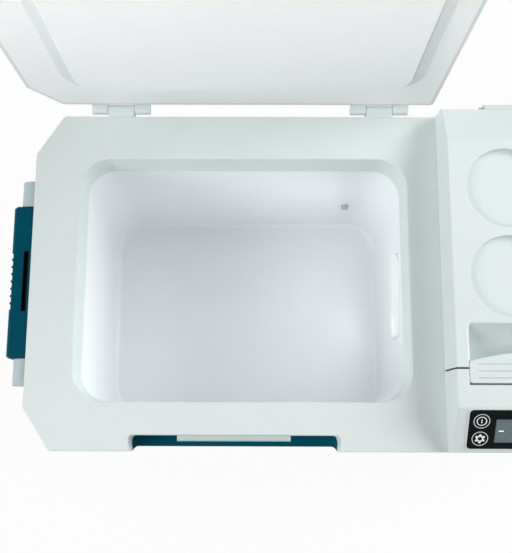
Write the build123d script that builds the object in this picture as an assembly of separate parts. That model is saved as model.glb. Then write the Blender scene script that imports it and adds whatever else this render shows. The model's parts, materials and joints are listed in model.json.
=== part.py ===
from build123d import *
from math import asin, atan, atan2, cos, degrees, hypot, radians, sin, sqrt, tan
import os

# Portable battery-powered compressor cool box, in millimetres.
# +Z is up, -Y is the side the user stands at, and -X is the cold compartment's end.
# The origin is on the floor under the middle of the whole object with its lid standing open.

# ---- Whole body ----
BODY_LENGTH = 604.0        # top frame, end to end
BODY_DEPTH = 330.0         # top frame, front to back
RIM_HEIGHT = 337.0         # floor to the rim that the lid closes on
FOOT_HEIGHT = 12.0
MACHINE_LENGTH = 205.5     # raised machine section, at the right-hand end
CORNER_X = 26.0            # the cut-off corners at the cold end, along X
CORNER_Y = 40.0            # and along Y
END_CORNER_X = 13.0        # the smaller ones at the machine end
END_CORNER_Y = 20.0
CORNER_ROUND = 5.0         # radius where a cut-off corner meets a side
WALL = 3.0                 # moulded walls
SHEET = 1.5                # sheet metal and the formed liner

# ---- Clearances ----
CLEAR = 0.4                # between pieces that move past each other
FIT = 0.05                 # radial play of a pin in its hole
STOP_GAP = 0.3             # between a closed cover and the face it closes on

# ---- Lower casing and top frame ----
SKIRT = 35.0               # height of the frame's outer skirt
CASE_INSET = 4.6           # the casing's face inside the skirt's face
CASE_LIP = 8.0             # how far the casing rises inside the skirt
RIM_ROUND = 1.2            # top outer edge of the frame

# ---- Cold compartment ----
OPEN_LEFT = 45.6           # margins of the mouth from the body's edges
OPEN_RIGHT = 31.2
OPEN_FRONT = 45.8
OPEN_BACK = 44.7
OPEN_ROUND = 30.0
COLLAR = 34.0              # depth of the frame's collar inside the mouth
COLLAR_DRAFT = 2.5         # degrees
COLLAR_ROUND = 1.5         # top edge of the collar
CABIN_DEPTH = 266.0        # rim to compartment floor
LINER_OUT_X = 5.0          # the liner stands back from the mouth behind the collar
LINER_OUT_Y = 3.4
LINER_ROUND = 36.0
LINER_FLOOR_ROUND = 6.0
LINER_LAP = 8.0            # how far the liner rises behind the collar
COIL_LOOPS = 5
COIL_HEIGHT = 9.0
COIL_THICK = 3.0
COIL_PITCH = 38.0

# ---- Lid, hinges and front latch ----
LID_GAP = 1.5              # rim to the lid's underside when shut
LID_THICK = 34.0
LID_DRAFT = 3.0            # degrees
LID_SIDE_GAP = 3.0         # shut lid to the foot of the machine section
LID_PANEL = 2.5            # wall of the inner panel
LID_PLUG_DROP = 8.0        # how far the inner panel reaches into the mouth
LID_PLUG_INSET = 6.0
LID_ROUND = 4.0
LID_TRAVEL = 90.0          # degrees from standing open to shut
GASKET_WIDTH = 9.0
GASKET_AWAY = 3.0          # gasket to plug
HINGE_BACK = 7.4           # lid axis behind the frame's back face
HINGE_DOWN = 1.2           # lid axis below the rim
KNUCKLE_R = 4.9
ARM_THICK = 5.0            # arm from a lid knuckle to the lid's shell
KNUCKLE_MIDDLE = 26.0
KNUCKLE_OUTER = 15.6
HINGE_FROM_END = 83.2      # left lid hinge from the left end
HINGE_FROM_SPLIT = 56.0    # right lid hinge from the machine section
PIN_R = 2.0
NOTCH_WIDTH = 198.5
NOTCH_DEPTH = 15.0
NOTCH_ROUND = 4.0
LEDGE_FLARE = 8.0          # ends of the ledge below the notch run out to the skirt's face
LEDGE_COVE = 5.0           # and curve up to the notch's sides
RECESS_ROUND = 2.0         # inner corners of the lid's recess above the notch
KEEPER_WIDTH = 106.0
KEEPER_REACH = 5.5
KEEPER_THICK = 6.0
FLAP_DROP = 26.0           # latch flap below the rim when shut
FLAP_THICK = 5.6
FLAP_TRAVEL = 40.0
HOOK_THICK = 5.0

# ---- Raised machine section: console in front, battery cover behind ----
RAISE = 35.0               # top of the section above the rim
SIDE_LEAN = 2.2            # how far its side walls lean in over that height
NOSE_HEIGHT = 9.0         # foot of the sloping control face
NOSE_RUN = 40.2            # front to back run of that slope
TAIL_HEIGHT = 21.0         # foot of the rear slope
TAIL_RUN = 37.0
TOP_ROUND = 2.0
BROW_ROUND = 5.0           # where the top runs into the front and rear slopes
SEAM = 75.4                # console to cover, from the front
SEAM_GAP = 1.5
CUP_R = 38.3
CUP_DEPTH = 5.5
CUP_APART_X = 14.9         # left cup rest to right one, rim to rim
CUP_APART_Y = 8.6          # front cup rest to rear one, rim to rim
CUP_BEHIND = 5.7           # finger scoop to the front cup rest
TAB_SIDE = 14.7            # scoop and tab from the section's side
SCOOP_BACK = 116.8         # from the front
SCOOP_DEPTH = 13.0
SCOOP_ROUND = 4.0          # corners of the scoop in plan
TAB_FRONT = 61.8
TAB_BACK = 81.9
TAB_ARCH = 10.8            # rise of the tab's arched back edge
TAB_FRONT_GAP = 1.6        # shadow gap in front of the tab
TAB_THICK = 4.5
TAB_ROUND = 3.0            # corners of the tab in plan
GROOVE_COUNT = 3
GROOVE_FIRST = 4.4         # tab's front edge to the first groove
GROOVE_PITCH = 6.15
GROOVE_WIDTH = 0.7
GROOVE_DEPTH = 0.5
GROOVE_INSET = 8.0         # ends of the grooves from the tab's sides
TAB_AXIS = 78.6            # tab pivot from the front
TAB_AXIS_DOWN = 5.4        # and below the top
TAB_PIN_R = 1.5
TAB_BOSS_R = 3.4
TAB_TRAVEL = 22.0
TAB_POCKET = 13.0
TAB_HOOK_HALF = 42.0
TAB_HOOK_DROP = 21.0
COVER_HINGE_SIDE = 46.75   # ends of the cover's hinge from the section's sides
COVER_HINGE_UP = 8.0       # its axis above the rim
COVER_PIN_OUT = 4.5        # pin past the outer knuckles
COVER_HINGE_BACK = 4.9
COVER_KNUCKLE = 28.0
COVER_KNUCKLE_R = 4.5
COVER_TRAVEL = 95.0

# ---- Control face, measured up the slope from its foot ----
FASCIA_LOW = 4.7
FASCIA_HIGH = 45.65
FASCIA_SIDE = 13.6         # from the section's side
FASCIA_ROUND = 4.0
FASCIA_THICK = 2.0
FASCIA_PROUD = 0.8
FASCIA_LIP = 1.0           # raised lip around the fascia
WINDOW_SIDE = 24.75        # display window from the fascia's ends
WINDOW_LOW = 11.3
WINDOW_HIGH = 35.8
BUTTON_SIDE = 11.55        # button centres from the fascia's ends
BUTTON_ROWS = (15.8, 34.15)
BUTTON_R = 7.6
BUTTON_FLANGE = 0.9        # how far a button's flange reaches past its cap
BUTTON_TRAVEL = 0.8
BUTTON_STEM = 2.4          # stem below the flange
SWITCH_SIZE = 6.0
BOARD_THICK = 1.6

# ---- Machine room ----
BAY_SIDE = 19.0            # battery bay from the section's side
BAY_FRONT = 96.0           # from the front
BAY_BACK = 40.0            # from the back
BAY_DEPTH = 82.0           # below the rim
BAY_WALL = 2.5
BAY_FLANGE = 6.0
SEAL_WIDTH = 5.0
SEAL_HEIGHT = 4.0
GRILLE_SIDE = 32.75        # grille opening from the section's sides
GRILLE_LOW = 45.0
GRILLE_HIGH = 185.0
GRILLE_FLANGE = 6.0
LOUVRE_COUNT = 9
LOUVRE_TILT = 35.0
LOUVRE_THICK = 1.6
FAN_R = 46.0
FAN_BLADES = 7
FAN_DEPTH = 22.0
FAN_DUCT = 6.0             # square duct beyond the blades' sweep
FAN_STRUT = 6.0
BLADE_THICK = 1.6
BLADE_CHORD = 22.0
BLADE_PITCH = 40.0         # degrees
FAN_SHAFT_R = 2.5
FAN_HUB_R = 17.0
FIN_COUNT = 16
FIN_THICK = 1.2
CONDENSER_DEPTH = 30.0
CONDENSER_SIDE = 14.0      # side plates beyond the fan's sweep
CONDENSER_PLATE = 2.0
TUBE_ROWS = 4
TUBE_WIDE = 8.0
TUBE_HIGH = 4.0
TUBE_OUT = 5.0             # tube bends beyond the side plates
FIN_MARGIN = 8.0           # fins short of the plates' ends
FIN_INSET = 2.0            # and of their edges
COMPRESSOR_FROM_FRONT = 97.0
COMPRESSOR_R = 48.0
COMPRESSOR_HEIGHT = 112.0
GROMMET_HEIGHT = 9.0
GROMMET_R = 8.0
LINE_R = 3.0
LINE_BEND = 8.0            # bend radius of the tubes' centre line
LINE_CLEAR = 10.0          # tube beside the condenser

# ---- Side handles ----
HANDLE_OUT = 12.5          # pivot outside the body's end
HANDLE_BACK = 2.4          # pivot's middle behind the body's middle
HANDLE_DOWN = 45.0         # pivot below the rim
HANDLE_LENGTH = 155.6
HANDLE_BARREL_R = 12.0
HANDLE_PLATE = 10.0
HANDLE_FACE = 16.5         # outer face from the pivot
HANDLE_DROP = 70.0
HANDLE_END = 2.0           # chamfer round each end of the handle
HANDLE_TAPER_IN = 18.0     # the plate's tapered lower corners, from its ends
HANDLE_TAPER_OUT = 12.0    # how far past the ends the taper's line runs
HANDLE_TAPER_UP = 50.0     # and how high it is there
HANDLE_TRAVEL = 85.0
HANDLE_PIN_R = 3.0
LUG_LENGTH = 26.5
LUG_R = 11.0
LUG_CAP = 6.0              # closed outer end of each lug
GRIP_HALF = 55.0
GRIP_HIGH = 20.0           # finger opening below the pivot
GRIP_LOW = 52.0
STRAP_SLOT = 62.0
STRAP_WIDTH = 5.2
STRAP_OUT = 1.3            # slot outside the pivot
STRAP_DEPTH = 7.5
RIB_COUNT = 8
RIB_SPAN = 60.0
RIB_CUT = 1.2              # depth of the pockets between the grip ribs
RIB_HIGH = 8.0             # pockets down from the handle's top
RIB_WIDE = 1.9             # thickness of a rib
HANDLE_EASE = 3.0          # sloped outer edge along the handle's top

# ---- Small pieces ----
FOOT_R = 14.0
FOOT_INSET_X = 60.0
FOOT_INSET_Y = 50.0
LIGHT_LENGTH = 92.0
LIGHT_HEIGHT = 57.0
LIGHT_DOWN = 111.5         # rim to the light's middle
LIGHT_PROUD = 5.0
LIGHT_EDGE = 1.2           # thickness of the lens at its rim
SENSOR_R = 4.0
INLET_WIDTH = 40.0
INLET_HEIGHT = 30.0
INLET_DOWN = 62.0          # rim to the inlet's middle
INLET_SIDE = 40.75         # inlet's middle from the section's left side
INLET_SOCKET_R = 6.0
INLET_DEPTH = 22.0
INLET_PIN_R = 1.2          # contact pin in the socket
INLET_PIN = 5.0
INLET_TRAVEL = 110.0
SCREW_R = 4.0
SCREW_THICK = 2.2
SCREW_BESIDE = 42.0        # screws from the hinge, the middle and the right-hand end

# ---- Places worked out from the sizes above ----
LEFT = -BODY_LENGTH / 2
RIGHT = BODY_LENGTH / 2
SPLIT = RIGHT - MACHINE_LENGTH    # where the machine section begins
OPEN_DEPTH = BODY_DEPTH + HINGE_BACK + LID_GAP + LID_THICK + HINGE_DOWN
FRONT = -OPEN_DEPTH / 2
BACK = FRONT + BODY_DEPTH
RIM = RIM_HEIGHT
MID = (SPLIT + RIGHT) / 2          # middle of the machine section
TOP = RIM + RAISE
MOUTH = (LEFT + OPEN_LEFT, SPLIT - OPEN_RIGHT, FRONT + OPEN_FRONT, BACK - OPEN_BACK)
NOTCH_X = (LEFT + SPLIT) / 2
LID_RIGHT = SPLIT - LID_SIDE_GAP
LID_LOW = RIM + LID_GAP
LID_TOP = LID_LOW + LID_THICK
PANEL_INSET = WALL + LID_PANEL * tan(radians(LID_DRAFT))
HINGE_XS = (LEFT + HINGE_FROM_END, SPLIT - HINGE_FROM_SPLIT)
LID_AXIS = Axis((0, BACK + HINGE_BACK, RIM - HINGE_DOWN), (1, 0, 0))
FLAP_AXIS_R = NOTCH_DEPTH / 2 - CLEAR
FLAP_Y = FRONT + NOTCH_DEPTH / 2
FLAP_Z = LID_TOP - FLAP_AXIS_R
FLAP_HALF = NOTCH_WIDTH / 2 - RECESS_ROUND
CASE_FLOOR = FOOT_HEIGHT + WALL
CABIN_FLOOR = RIM - CABIN_DEPTH
TAB_HALF = (RIGHT - SPLIT) / 2 - TAB_SIDE
FASCIA_HALF = (RIGHT - SPLIT) / 2 - FASCIA_SIDE
WINDOW_HALF = FASCIA_HALF - WINDOW_SIDE
BUTTON_OFF = FASCIA_HALF - BUTTON_SIDE
GRILLE_HALF = (RIGHT - SPLIT) / 2 - GRILLE_SIDE
COVER_HINGE_HALF = (RIGHT - SPLIT) / 2 - COVER_HINGE_SIDE
SLOPE = atan2(RAISE - NOSE_HEIGHT, NOSE_RUN)
CONTROL_FACE = Plane((MID, FRONT, RIM + NOSE_HEIGHT), x_dir=(1, 0, 0), z_dir=(0, -sin(SLOPE), cos(SLOPE)))
COVER_AXIS_Y = BACK + COVER_HINGE_BACK
COVER_AXIS_Z = RIM + COVER_HINGE_UP
FAN_Z = (GRILLE_LOW + GRILLE_HIGH) / 2
CONDENSER_BACK = BACK - CASE_INSET - WALL - 4 * SHEET
FAN_BACK = CONDENSER_BACK - CONDENSER_DEPTH
FAN_FRONT = FAN_BACK - FAN_DEPTH
COMPRESSOR_Y = FRONT + COMPRESSOR_FROM_FRONT
EAR_LOW = CASE_FLOOR + SHEET + GROMMET_HEIGHT
CAN_LOW = EAR_LOW - GROMMET_HEIGHT * 2 / 3
HANDLE_X = LEFT - HANDLE_OUT
HANDLE_Z = RIM - HANDLE_DOWN
HANDLE_Y = FRONT + BODY_DEPTH / 2 + HANDLE_BACK
CASE_BACK = BACK - CASE_INSET
INLET_X = SPLIT + INLET_SIDE
INLET_Z = RIM - INLET_DOWN


# ---- Shape helpers ----
def block(x0, x1, y0, y1, z0, z1):
    """A box between two corners."""
    return Pos((x0 + x1) / 2, (y0 + y1) / 2, (z0 + z1) / 2) * Box(x1 - x0, y1 - y0, z1 - z0)


def prism(face, z0, z1):
    """A plan outline carried straight up from z0 to z1."""
    return extrude(Pos(0, 0, z0) * face, amount=z1 - z0, dir=(0, 0, 1))


def along_x(outline, x0, x1):
    """An outline drawn in (Y, Z), carried along X."""
    return extrude(Plane.YZ.offset(x0) * outline, amount=x1 - x0, dir=(1, 0, 0))


def along_y(outline, y0, y1):
    """An outline drawn in (X, Z), carried along Y."""
    return extrude(Plane.XZ.offset(-y0) * outline, amount=y1 - y0, dir=(0, 1, 0))


def rod_x(x0, x1, y, z, radius):
    """A round bar along X."""
    return Pos((x0 + x1) / 2, y, z) * Rot(0, 90, 0) * Cylinder(radius, x1 - x0)


def rod_y(y0, y1, x, z, radius):
    """A round bar along Y."""
    return Pos(x, (y0 + y1) / 2, z) * Rot(90, 0, 0) * Cylinder(radius, y1 - y0)


def rod_z(z0, z1, x, y, radius):
    """A round bar along Z."""
    return Pos(x, y, (z0 + z1) / 2) * Cylinder(radius, z1 - z0)


def rounded(x0, x1, y0, y1, radius):
    """A rectangle with round corners, in plan."""
    return Pos((x0 + x1) / 2, (y0 + y1) / 2) * RectangleRounded(x1 - x0, y1 - y0, radius)


def ring(x0, x1, y0, y1, radius, width):
    """A band of one width around a round-cornered rectangle, outside it."""
    outside = rounded(x0 - width, x1 + width, y0 - width, y1 + width, radius + width)
    return outside - rounded(x0, x1, y0, y1, radius)


def cut_corner(inset, along, across):
    """Length left along one side of a cut-off corner when the outline moves in by inset."""
    return along * (1 + inset * hypot(1 / along, 1 / across) - inset / across)


def cut_corner_outline(inset, x1=RIGHT, right=True):
    """A rectangle with cut-off corners, moved in by inset; with right False its right end is square."""
    cx = cut_corner(inset, CORNER_X, CORNER_Y)
    cy = cut_corner(inset, CORNER_Y, CORNER_X)
    ex = cut_corner(inset, END_CORNER_X, END_CORNER_Y)
    ey = cut_corner(inset, END_CORNER_Y, END_CORNER_X)
    west, east, south, north = LEFT + inset, x1 - inset, FRONT + inset, BACK - inset
    left = [(LEFT + cx, north), (west, BACK - cy), (west, FRONT + cy), (LEFT + cx, south)]
    if right:
        ends = [(x1 - ex, south), (east, FRONT + ey), (east, BACK - ey), (x1 - ex, north)]
    else:
        ends = [(east, south), (east, north)]
    return Polygon(*left, *ends, align=None)


def plan(inset):
    """The body's plan with its corners eased."""
    outline = cut_corner_outline(inset)
    return fillet(outline.vertices(), max(CORNER_ROUND - inset, 1.0))


def lid_plan(inset):
    """The lid's plan: cut-off corners on the left, square against the machine section."""
    outline = cut_corner_outline(inset, x1=LID_RIGHT, right=False)
    return fillet(outline.vertices(), max(CORNER_ROUND - inset, 1.0))


def mouth(grow, radius=OPEN_ROUND):
    """The compartment's mouth, grown all round."""
    x0, x1, y0, y1 = MOUTH
    return rounded(x0 - grow, x1 + grow, y0 - grow, y1 + grow, radius + grow)


def liner_plan(grow):
    """The inside of the liner, which stands back behind the collar, grown all round."""
    x0, x1, y0, y1 = MOUTH
    dx = LINER_OUT_X + grow
    dy = LINER_OUT_Y + grow
    return rounded(x0 - dx, x1 + dx, y0 - dy, y1 + dy, LINER_ROUND + grow)


def notch_plan(grow, radius=NOTCH_ROUND):
    """The latch notch in the front edge, round at its inner corners, grown by a wall."""
    half = NOTCH_WIDTH / 2 + grow
    inner = FRONT + NOTCH_DEPTH + grow
    return rounded(NOTCH_X - half, NOTCH_X + half, FRONT - 2 * NOTCH_DEPTH, inner, radius + grow)


def lid_opened(shape):
    """A piece drawn on the shut lid, turned up to where the open lid stands."""
    return shape.rotate(LID_AXIS, -LID_TRAVEL)


def mirrored(shape, side):
    """A left-end piece, or its mirror image at the right end."""
    return shape if side == "left" else mirror(shape, about=Plane.YZ)


# ---- Cabinet: casing, frame and compartment ----
def grille_hole(grow):
    """The opening of a vent grille in (X, Z), grown all round."""
    width = 2 * (GRILLE_HALF + grow)
    height = GRILLE_HIGH - GRILLE_LOW + 2 * grow
    return Pos(MID, FAN_Z) * RectangleRounded(width, height, 6 + grow)


def ledge_end(side):
    """One end of the ledge below the notch: it flares out to the skirt's face and coves up."""
    x = NOTCH_X + side * NOTCH_WIDTH / 2
    face = FRONT + CASE_INSET
    out = FRONT + CLEAR
    mid = (x - side * 0.29 * LEDGE_FLARE, face - 0.29 * (face - out))
    curve = ThreePointArc((x - side * LEDGE_FLARE, face), mid, (x, out))
    edge = Polyline((x, out), (x + side * WALL, out), (x + side * WALL, face + WALL),
                    (x - side * LEDGE_FLARE, face + WALL), (x - side * LEDGE_FLARE, face))
    flare = prism(make_face([curve, edge]), RIM - SKIRT - WALL, RIM - SKIRT)
    low = RIM - SKIRT
    x0, x1 = sorted((x - side * LEDGE_COVE, x))
    cove = block(x0, x1, face, FRONT + NOTCH_DEPTH - NOTCH_ROUND, low - WALL / 2, low + LEDGE_COVE)
    return flare + (cove - rod_y(FRONT, FRONT + 2 * NOTCH_DEPTH, x - side * LEDGE_COVE, low + LEDGE_COVE, LEDGE_COVE))


def outer_casing():
    """Open-topped moulded tub with a ledge under the latch notch and two vent openings."""
    top = RIM - SKIRT + CASE_LIP
    body = prism(plan(CASE_INSET), FOOT_HEIGHT, top)
    body = fillet(body.edges().group_by(Axis.Z)[0], 4)
    body -= prism(plan(CASE_INSET + WALL), CASE_FLOOR, top + 1)
    ledge = prism(notch_plan(2 * WALL) & plan(CASE_INSET), RIM - SKIRT - WALL, RIM - SKIRT)
    body -= prism(notch_plan(WALL + CLEAR), RIM - SKIRT, top + 1)
    body += ledge
    for side in (-1, 1):
        body += ledge_end(side)
    body -= along_y(grille_hole(0), FRONT, FRONT + 2 * CORNER_Y)
    body -= along_y(grille_hole(0), BACK - 2 * CORNER_Y, BACK)
    body -= along_y(inlet_outline(0), BACK - CORNER_Y, BACK)
    return body


def lid_arm(x0, x1):
    """The cranked arm of a lid knuckle: up behind the rim, then forward into the shell."""
    y, z = LID_AXIS.position.Y, LID_AXIS.position.Z
    low = LID_LOW + CLEAR
    near = y - KNUCKLE_R
    side = [(y, z), (near, z), (near, low), (BACK - 1, low), (BACK - 1, low + ARM_THICK),
            (near, low + ARM_THICK), (y, z + KNUCKLE_R)]
    return along_x(Polygon(*side, align=None), x0, x1)


def hinge_spans(centre):
    """The X spans of one lid hinge: left outer, middle and right outer knuckle."""
    m = KNUCKLE_MIDDLE / 2
    o = m + CLEAR + KNUCKLE_OUTER
    return ((centre - o, centre - m - CLEAR), (centre - m, centre + m), (centre + m + CLEAR, centre + o))


def frame_knuckles():
    """The middle knuckles of both lid hinges, carried on the frame's back."""
    y, z = LID_AXIS.position.Y, LID_AXIS.position.Z
    shape = Part()
    for centre in HINGE_XS:
        x0, x1 = hinge_spans(centre)[1]
        shape += rod_x(x0, x1, y, z, KNUCKLE_R)
        web = [(BACK - 1, RIM - RIM_ROUND), (y - 0.7 * KNUCKLE_R, z + 0.7 * KNUCKLE_R), (y, z),
               (y + KNUCKLE_R, z), (BACK - 1, z - 4 * KNUCKLE_R)]
        shape += along_x(Polygon(*web, align=None), x0, x1)
        shape -= rod_x(x0 - 1, x1 + 1, y, z, PIN_R + FIT)
    return shape


def cover_hinge_post():
    """Fixed middle part of the battery cover's hinge, rising behind the section."""
    half = COVER_HINGE_HALF - COVER_KNUCKLE - CLEAR
    y, z = COVER_AXIS_Y, COVER_AXIS_Z
    low = RIM - SKIRT / 2
    face = BACK + CLEAR
    web = [(BACK - 1, low), (face, low), (y + COVER_KNUCKLE_R / 2, RIM), (y + COVER_KNUCKLE_R, z), (face, z),
           (face, RIM - CLEAR), (BACK - 1, RIM - CLEAR)]
    shape = along_x(Polygon(*web, align=None), MID - half, MID + half)
    shape += rod_x(MID - half, MID + half, y, z, COVER_KNUCKLE_R)
    return shape - rod_x(MID - half - 1, MID + half + 1, y, z, PIN_R + FIT)


def bay_plan(grow):
    """The battery bay's outside in plan, grown all round."""
    return rounded(SPLIT + BAY_SIDE - grow, RIGHT - BAY_SIDE + grow,
                   FRONT + BAY_FRONT - grow, BACK - BAY_BACK + grow, 6 + max(grow, 0))


def top_frame():
    """Pale moulded frame: rim, skirt, collar, latch notch and the fixed hinge knuckles."""
    body = prism(plan(0), RIM - WALL, RIM) + prism(plan(0) - plan(WALL), RIM - SKIRT, RIM - WALL)
    body += prism(mouth(WALL), RIM - COLLAR, RIM - WALL)
    body += prism(notch_plan(WALL) & plan(0), RIM - SKIRT, RIM - WALL)
    body -= prism(notch_plan(0), RIM - SKIRT - 1, RIM + 1)
    body = fillet(body.edges().group_by(Axis.Z)[-1], RIM_ROUND)
    body -= extrude(Pos(0, 0, RIM) * mouth(0), amount=COLLAR, dir=(0, 0, -1), taper=COLLAR_DRAFT)
    rim_edges = body.edges().group_by(Axis.Z)[-1]
    x0, x1, y0, y1 = MOUTH
    body = fillet([e for e in rim_edges if x0 - 1 < e.center().X < x1 + 1 and y0 - 1 < e.center().Y < y1 + 1],
                  COLLAR_ROUND)
    body -= prism(bay_plan(CLEAR), RIM - 2 * WALL, RIM + 1)
    return body + frame_knuckles() + cover_hinge_post()


def latch_keeper():
    """The lip in the notch that the latch flap hooks under."""
    y1 = FRONT + NOTCH_DEPTH
    y0 = y1 - KEEPER_REACH
    low = RIM - KEEPER_THICK
    profile = [(y1, RIM), (y0 + 1, RIM), (y0, RIM - 1), (y0, low + 1), (y0 + 1, low), (y1, low - 1.5)]
    return along_x(Polygon(*profile, align=None), NOTCH_X - KEEPER_WIDTH / 2, NOTCH_X + KEEPER_WIDTH / 2)


def inner_liner():
    """The compartment's formed liner, its mouth tucked up behind the collar."""
    top = RIM - COLLAR + LINER_LAP
    shell = prism(liner_plan(SHEET), CABIN_FLOOR - SHEET, top)
    shell = fillet(shell.edges().group_by(Axis.Z)[0], LINER_FLOOR_ROUND + SHEET)
    inside = prism(liner_plan(0), CABIN_FLOOR, top + 1)
    inside = fillet(inside.edges().group_by(Axis.Z)[0], LINER_FLOOR_ROUND)
    return shell - inside


def evaporator_coil():
    """Flat tube laid round the liner in loops, joined by a riser at the back."""
    flat = liner_plan(SHEET + COIL_THICK) - liner_plan(SHEET)
    shape = Part()
    low = CABIN_FLOOR + COIL_PITCH / 2
    for i in range(COIL_LOOPS):
        shape += prism(flat, low + i * COIL_PITCH, low + i * COIL_PITCH + COIL_HEIGHT)
    x1 = MOUTH[1] - LINER_ROUND
    y1 = MOUTH[3] + LINER_OUT_Y + SHEET
    high = low + (COIL_LOOPS - 1) * COIL_PITCH
    return shape + block(x1 - 2 * COIL_HEIGHT, x1 - COIL_HEIGHT, y1, y1 + COIL_THICK, low, high)


def insulation_foam():
    """Foam that fills the space between casing, frame and liner on the cold side."""
    body = prism(plan(CASE_INSET + WALL), CASE_FLOOR, RIM - WALL)
    body &= block(LEFT, SPLIT, FRONT, BACK, CASE_FLOOR, RIM)
    body -= prism(liner_plan(SHEET + COIL_THICK), CABIN_FLOOR - SHEET, RIM)
    return body - prism(notch_plan(2 * WALL), RIM - SKIRT - WALL, RIM)


def bulkhead():
    """Sheet wall between the foam and the machine room, flanged at its foot."""
    y0 = FRONT + CASE_INSET + WALL
    y1 = CASE_BACK - WALL
    wall = block(SPLIT, SPLIT + SHEET, y0, y1, CASE_FLOOR, RIM - WALL)
    return wall + block(SPLIT, SPLIT + 8 * SHEET, y0, y1, CASE_FLOOR, CASE_FLOOR + SHEET)


def base_tray():
    """Pressed tray that carries the compressor and the condenser."""
    x0 = SPLIT + 8 * SHEET + CLEAR
    x1 = RIGHT - CASE_INSET - WALL
    outline = plan(CASE_INSET + WALL) & rounded(x0, 2 * x1, 2 * FRONT, 2 * BACK, 1)
    body = prism(outline, CASE_FLOOR, CASE_FLOOR + 4 * SHEET)
    return body - prism(offset(outline, -2 * SHEET), CASE_FLOOR + SHEET, CASE_FLOOR + 5 * SHEET)


def foot(x, y):
    """Turned rubber foot, wider at its sole, held up in the casing's floor."""
    profile = [(0, 0), (FOOT_R, 0), (FOOT_R, 3), (FOOT_R - 3, FOOT_HEIGHT), (0, FOOT_HEIGHT)]
    return Pos(x, y) * revolve(Plane.XZ * Polygon(*profile, align=None), Axis.Z)


# ---- Machine room ----
def compressor():
    """Welded can with round shoulders and three mounting ears."""
    can = Pos(0, 0, CAN_LOW + COMPRESSOR_HEIGHT / 2) * Cylinder(COMPRESSOR_R, COMPRESSOR_HEIGHT)
    body = fillet(can.edges().filter_by(GeomType.CIRCLE), COMPRESSOR_R / 3)
    for angle in (90, 210, 330):
        x1 = COMPRESSOR_R + 2 * GROMMET_R
        ear = block(COMPRESSOR_R / 2, x1, -GROMMET_R, GROMMET_R, EAR_LOW, EAR_LOW + 2 * SHEET)
        body += Rot(0, 0, angle) * ear
    return Pos(MID, COMPRESSOR_Y) * body


def compressor_mounts():
    """Rubber grommets under the compressor's ears."""
    shape = []
    z0 = CASE_FLOOR + SHEET
    for angle in (90, 210, 330):
        reach = COMPRESSOR_R + GROMMET_R
        x = MID + reach * cos(radians(angle))
        y = COMPRESSOR_Y + reach * sin(radians(angle))
        shape.append(rod_z(z0, z0 + GROMMET_HEIGHT, x, y, GROMMET_R - 1))
    return Compound(children=shape)


def condenser():
    """Finned block: side plates, a row of fins and the tubes through them."""
    half = FAN_R + CONDENSER_SIDE
    y0, y1 = FAN_BACK, CONDENSER_BACK
    low = CASE_FLOOR + SHEET
    high = FAN_Z + FAN_R + FIN_MARGIN
    shape = Part()
    for side in (-1, 1):
        x = MID + side * half
        shape += block(x - CONDENSER_PLATE / 2, x + CONDENSER_PLATE / 2, y0, y1, low, high)
    step = 2 * half / (FIN_COUNT + 1)
    for i in range(FIN_COUNT):
        x = MID - half + (i + 1) * step
        shape += block(x - FIN_THICK / 2, x + FIN_THICK / 2, y0 + FIN_INSET, y1 - FIN_INSET,
                       low + FIN_MARGIN, high - FIN_MARGIN / 2)
    y = (y0 + y1) / 2
    z0, z1 = low + 2 * FIN_MARGIN, high - 1.5 * FIN_MARGIN
    for i in range(TUBE_ROWS):
        z = z0 + i * (z1 - z0) / (TUBE_ROWS - 1)
        shape += block(MID - half - TUBE_OUT, MID + half + TUBE_OUT, y - TUBE_WIDE / 2, y + TUBE_WIDE / 2,
                       z - TUBE_HIGH / 2, z + TUBE_HIGH / 2)
    return shape


def fan_frame():
    """Square fan duct with three struts, a motor stator and the rotor's shaft."""
    half = FAN_R + FAN_DUCT
    mid_y = (FAN_FRONT + FAN_BACK) / 2
    body = block(MID - half, MID + half, FAN_FRONT, FAN_BACK, FAN_Z - half, FAN_Z + half)
    body -= rod_y(FAN_FRONT - 1, FAN_BACK + 1, MID, FAN_Z, FAN_R + 1)
    for angle in (90, 210, 330):
        strut = block(0, FAN_R + FAN_STRUT / 2, FAN_BACK - FAN_STRUT / 2, FAN_BACK, -FAN_STRUT / 2, FAN_STRUT / 2)
        body += Pos(MID, 0, FAN_Z) * Rot(0, angle, 0) * strut
    body += rod_y(mid_y + 2, FAN_BACK, MID, FAN_Z, FAN_HUB_R - 3)
    body += rod_y(FAN_FRONT + 3, mid_y + 3, MID, FAN_Z, FAN_SHAFT_R)
    foot_low = CASE_FLOOR + SHEET
    return body + block(MID - half, MID + half, FAN_FRONT + 4, FAN_BACK - 4, foot_low, FAN_Z - half)


def fan_rotor():
    """Hub with pitched blades, running on the frame's shaft."""
    mid_y = (FAN_FRONT + FAN_BACK) / 2
    y0, y1 = FAN_FRONT + 3.5, mid_y + 1.2
    hub = rod_y(y0, y1, MID, FAN_Z, FAN_HUB_R)
    blade = Pos(FAN_R / 2, 0, 0) * Rot(BLADE_PITCH, 0, 0) * Box(FAN_R, BLADE_THICK, BLADE_CHORD)
    blade &= block(0, FAN_R + 1, y0 - (y0 + y1) / 2, (y1 - y0) / 2, -FAN_R, FAN_R)
    blades = Part()
    for i in range(FAN_BLADES):
        blades += Rot(0, i * 360 / FAN_BLADES, 0) * blade
    blades = Pos(MID, (y0 + y1) / 2, FAN_Z) * blades
    blades &= rod_y(y0, y1, MID, FAN_Z, FAN_R - 1)
    return hub + blades - rod_y(y0 - 1, y1 + 1, MID, FAN_Z, FAN_SHAFT_R + FIT)


def pipe(points, radii):
    """Round tube along straight runs joined by arcs."""
    path = FilletPolyline(*points, radius=radii)
    start = Plane(path @ 0, z_dir=path % 0)
    return sweep(start * Circle(LINE_R), path=path)


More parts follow.
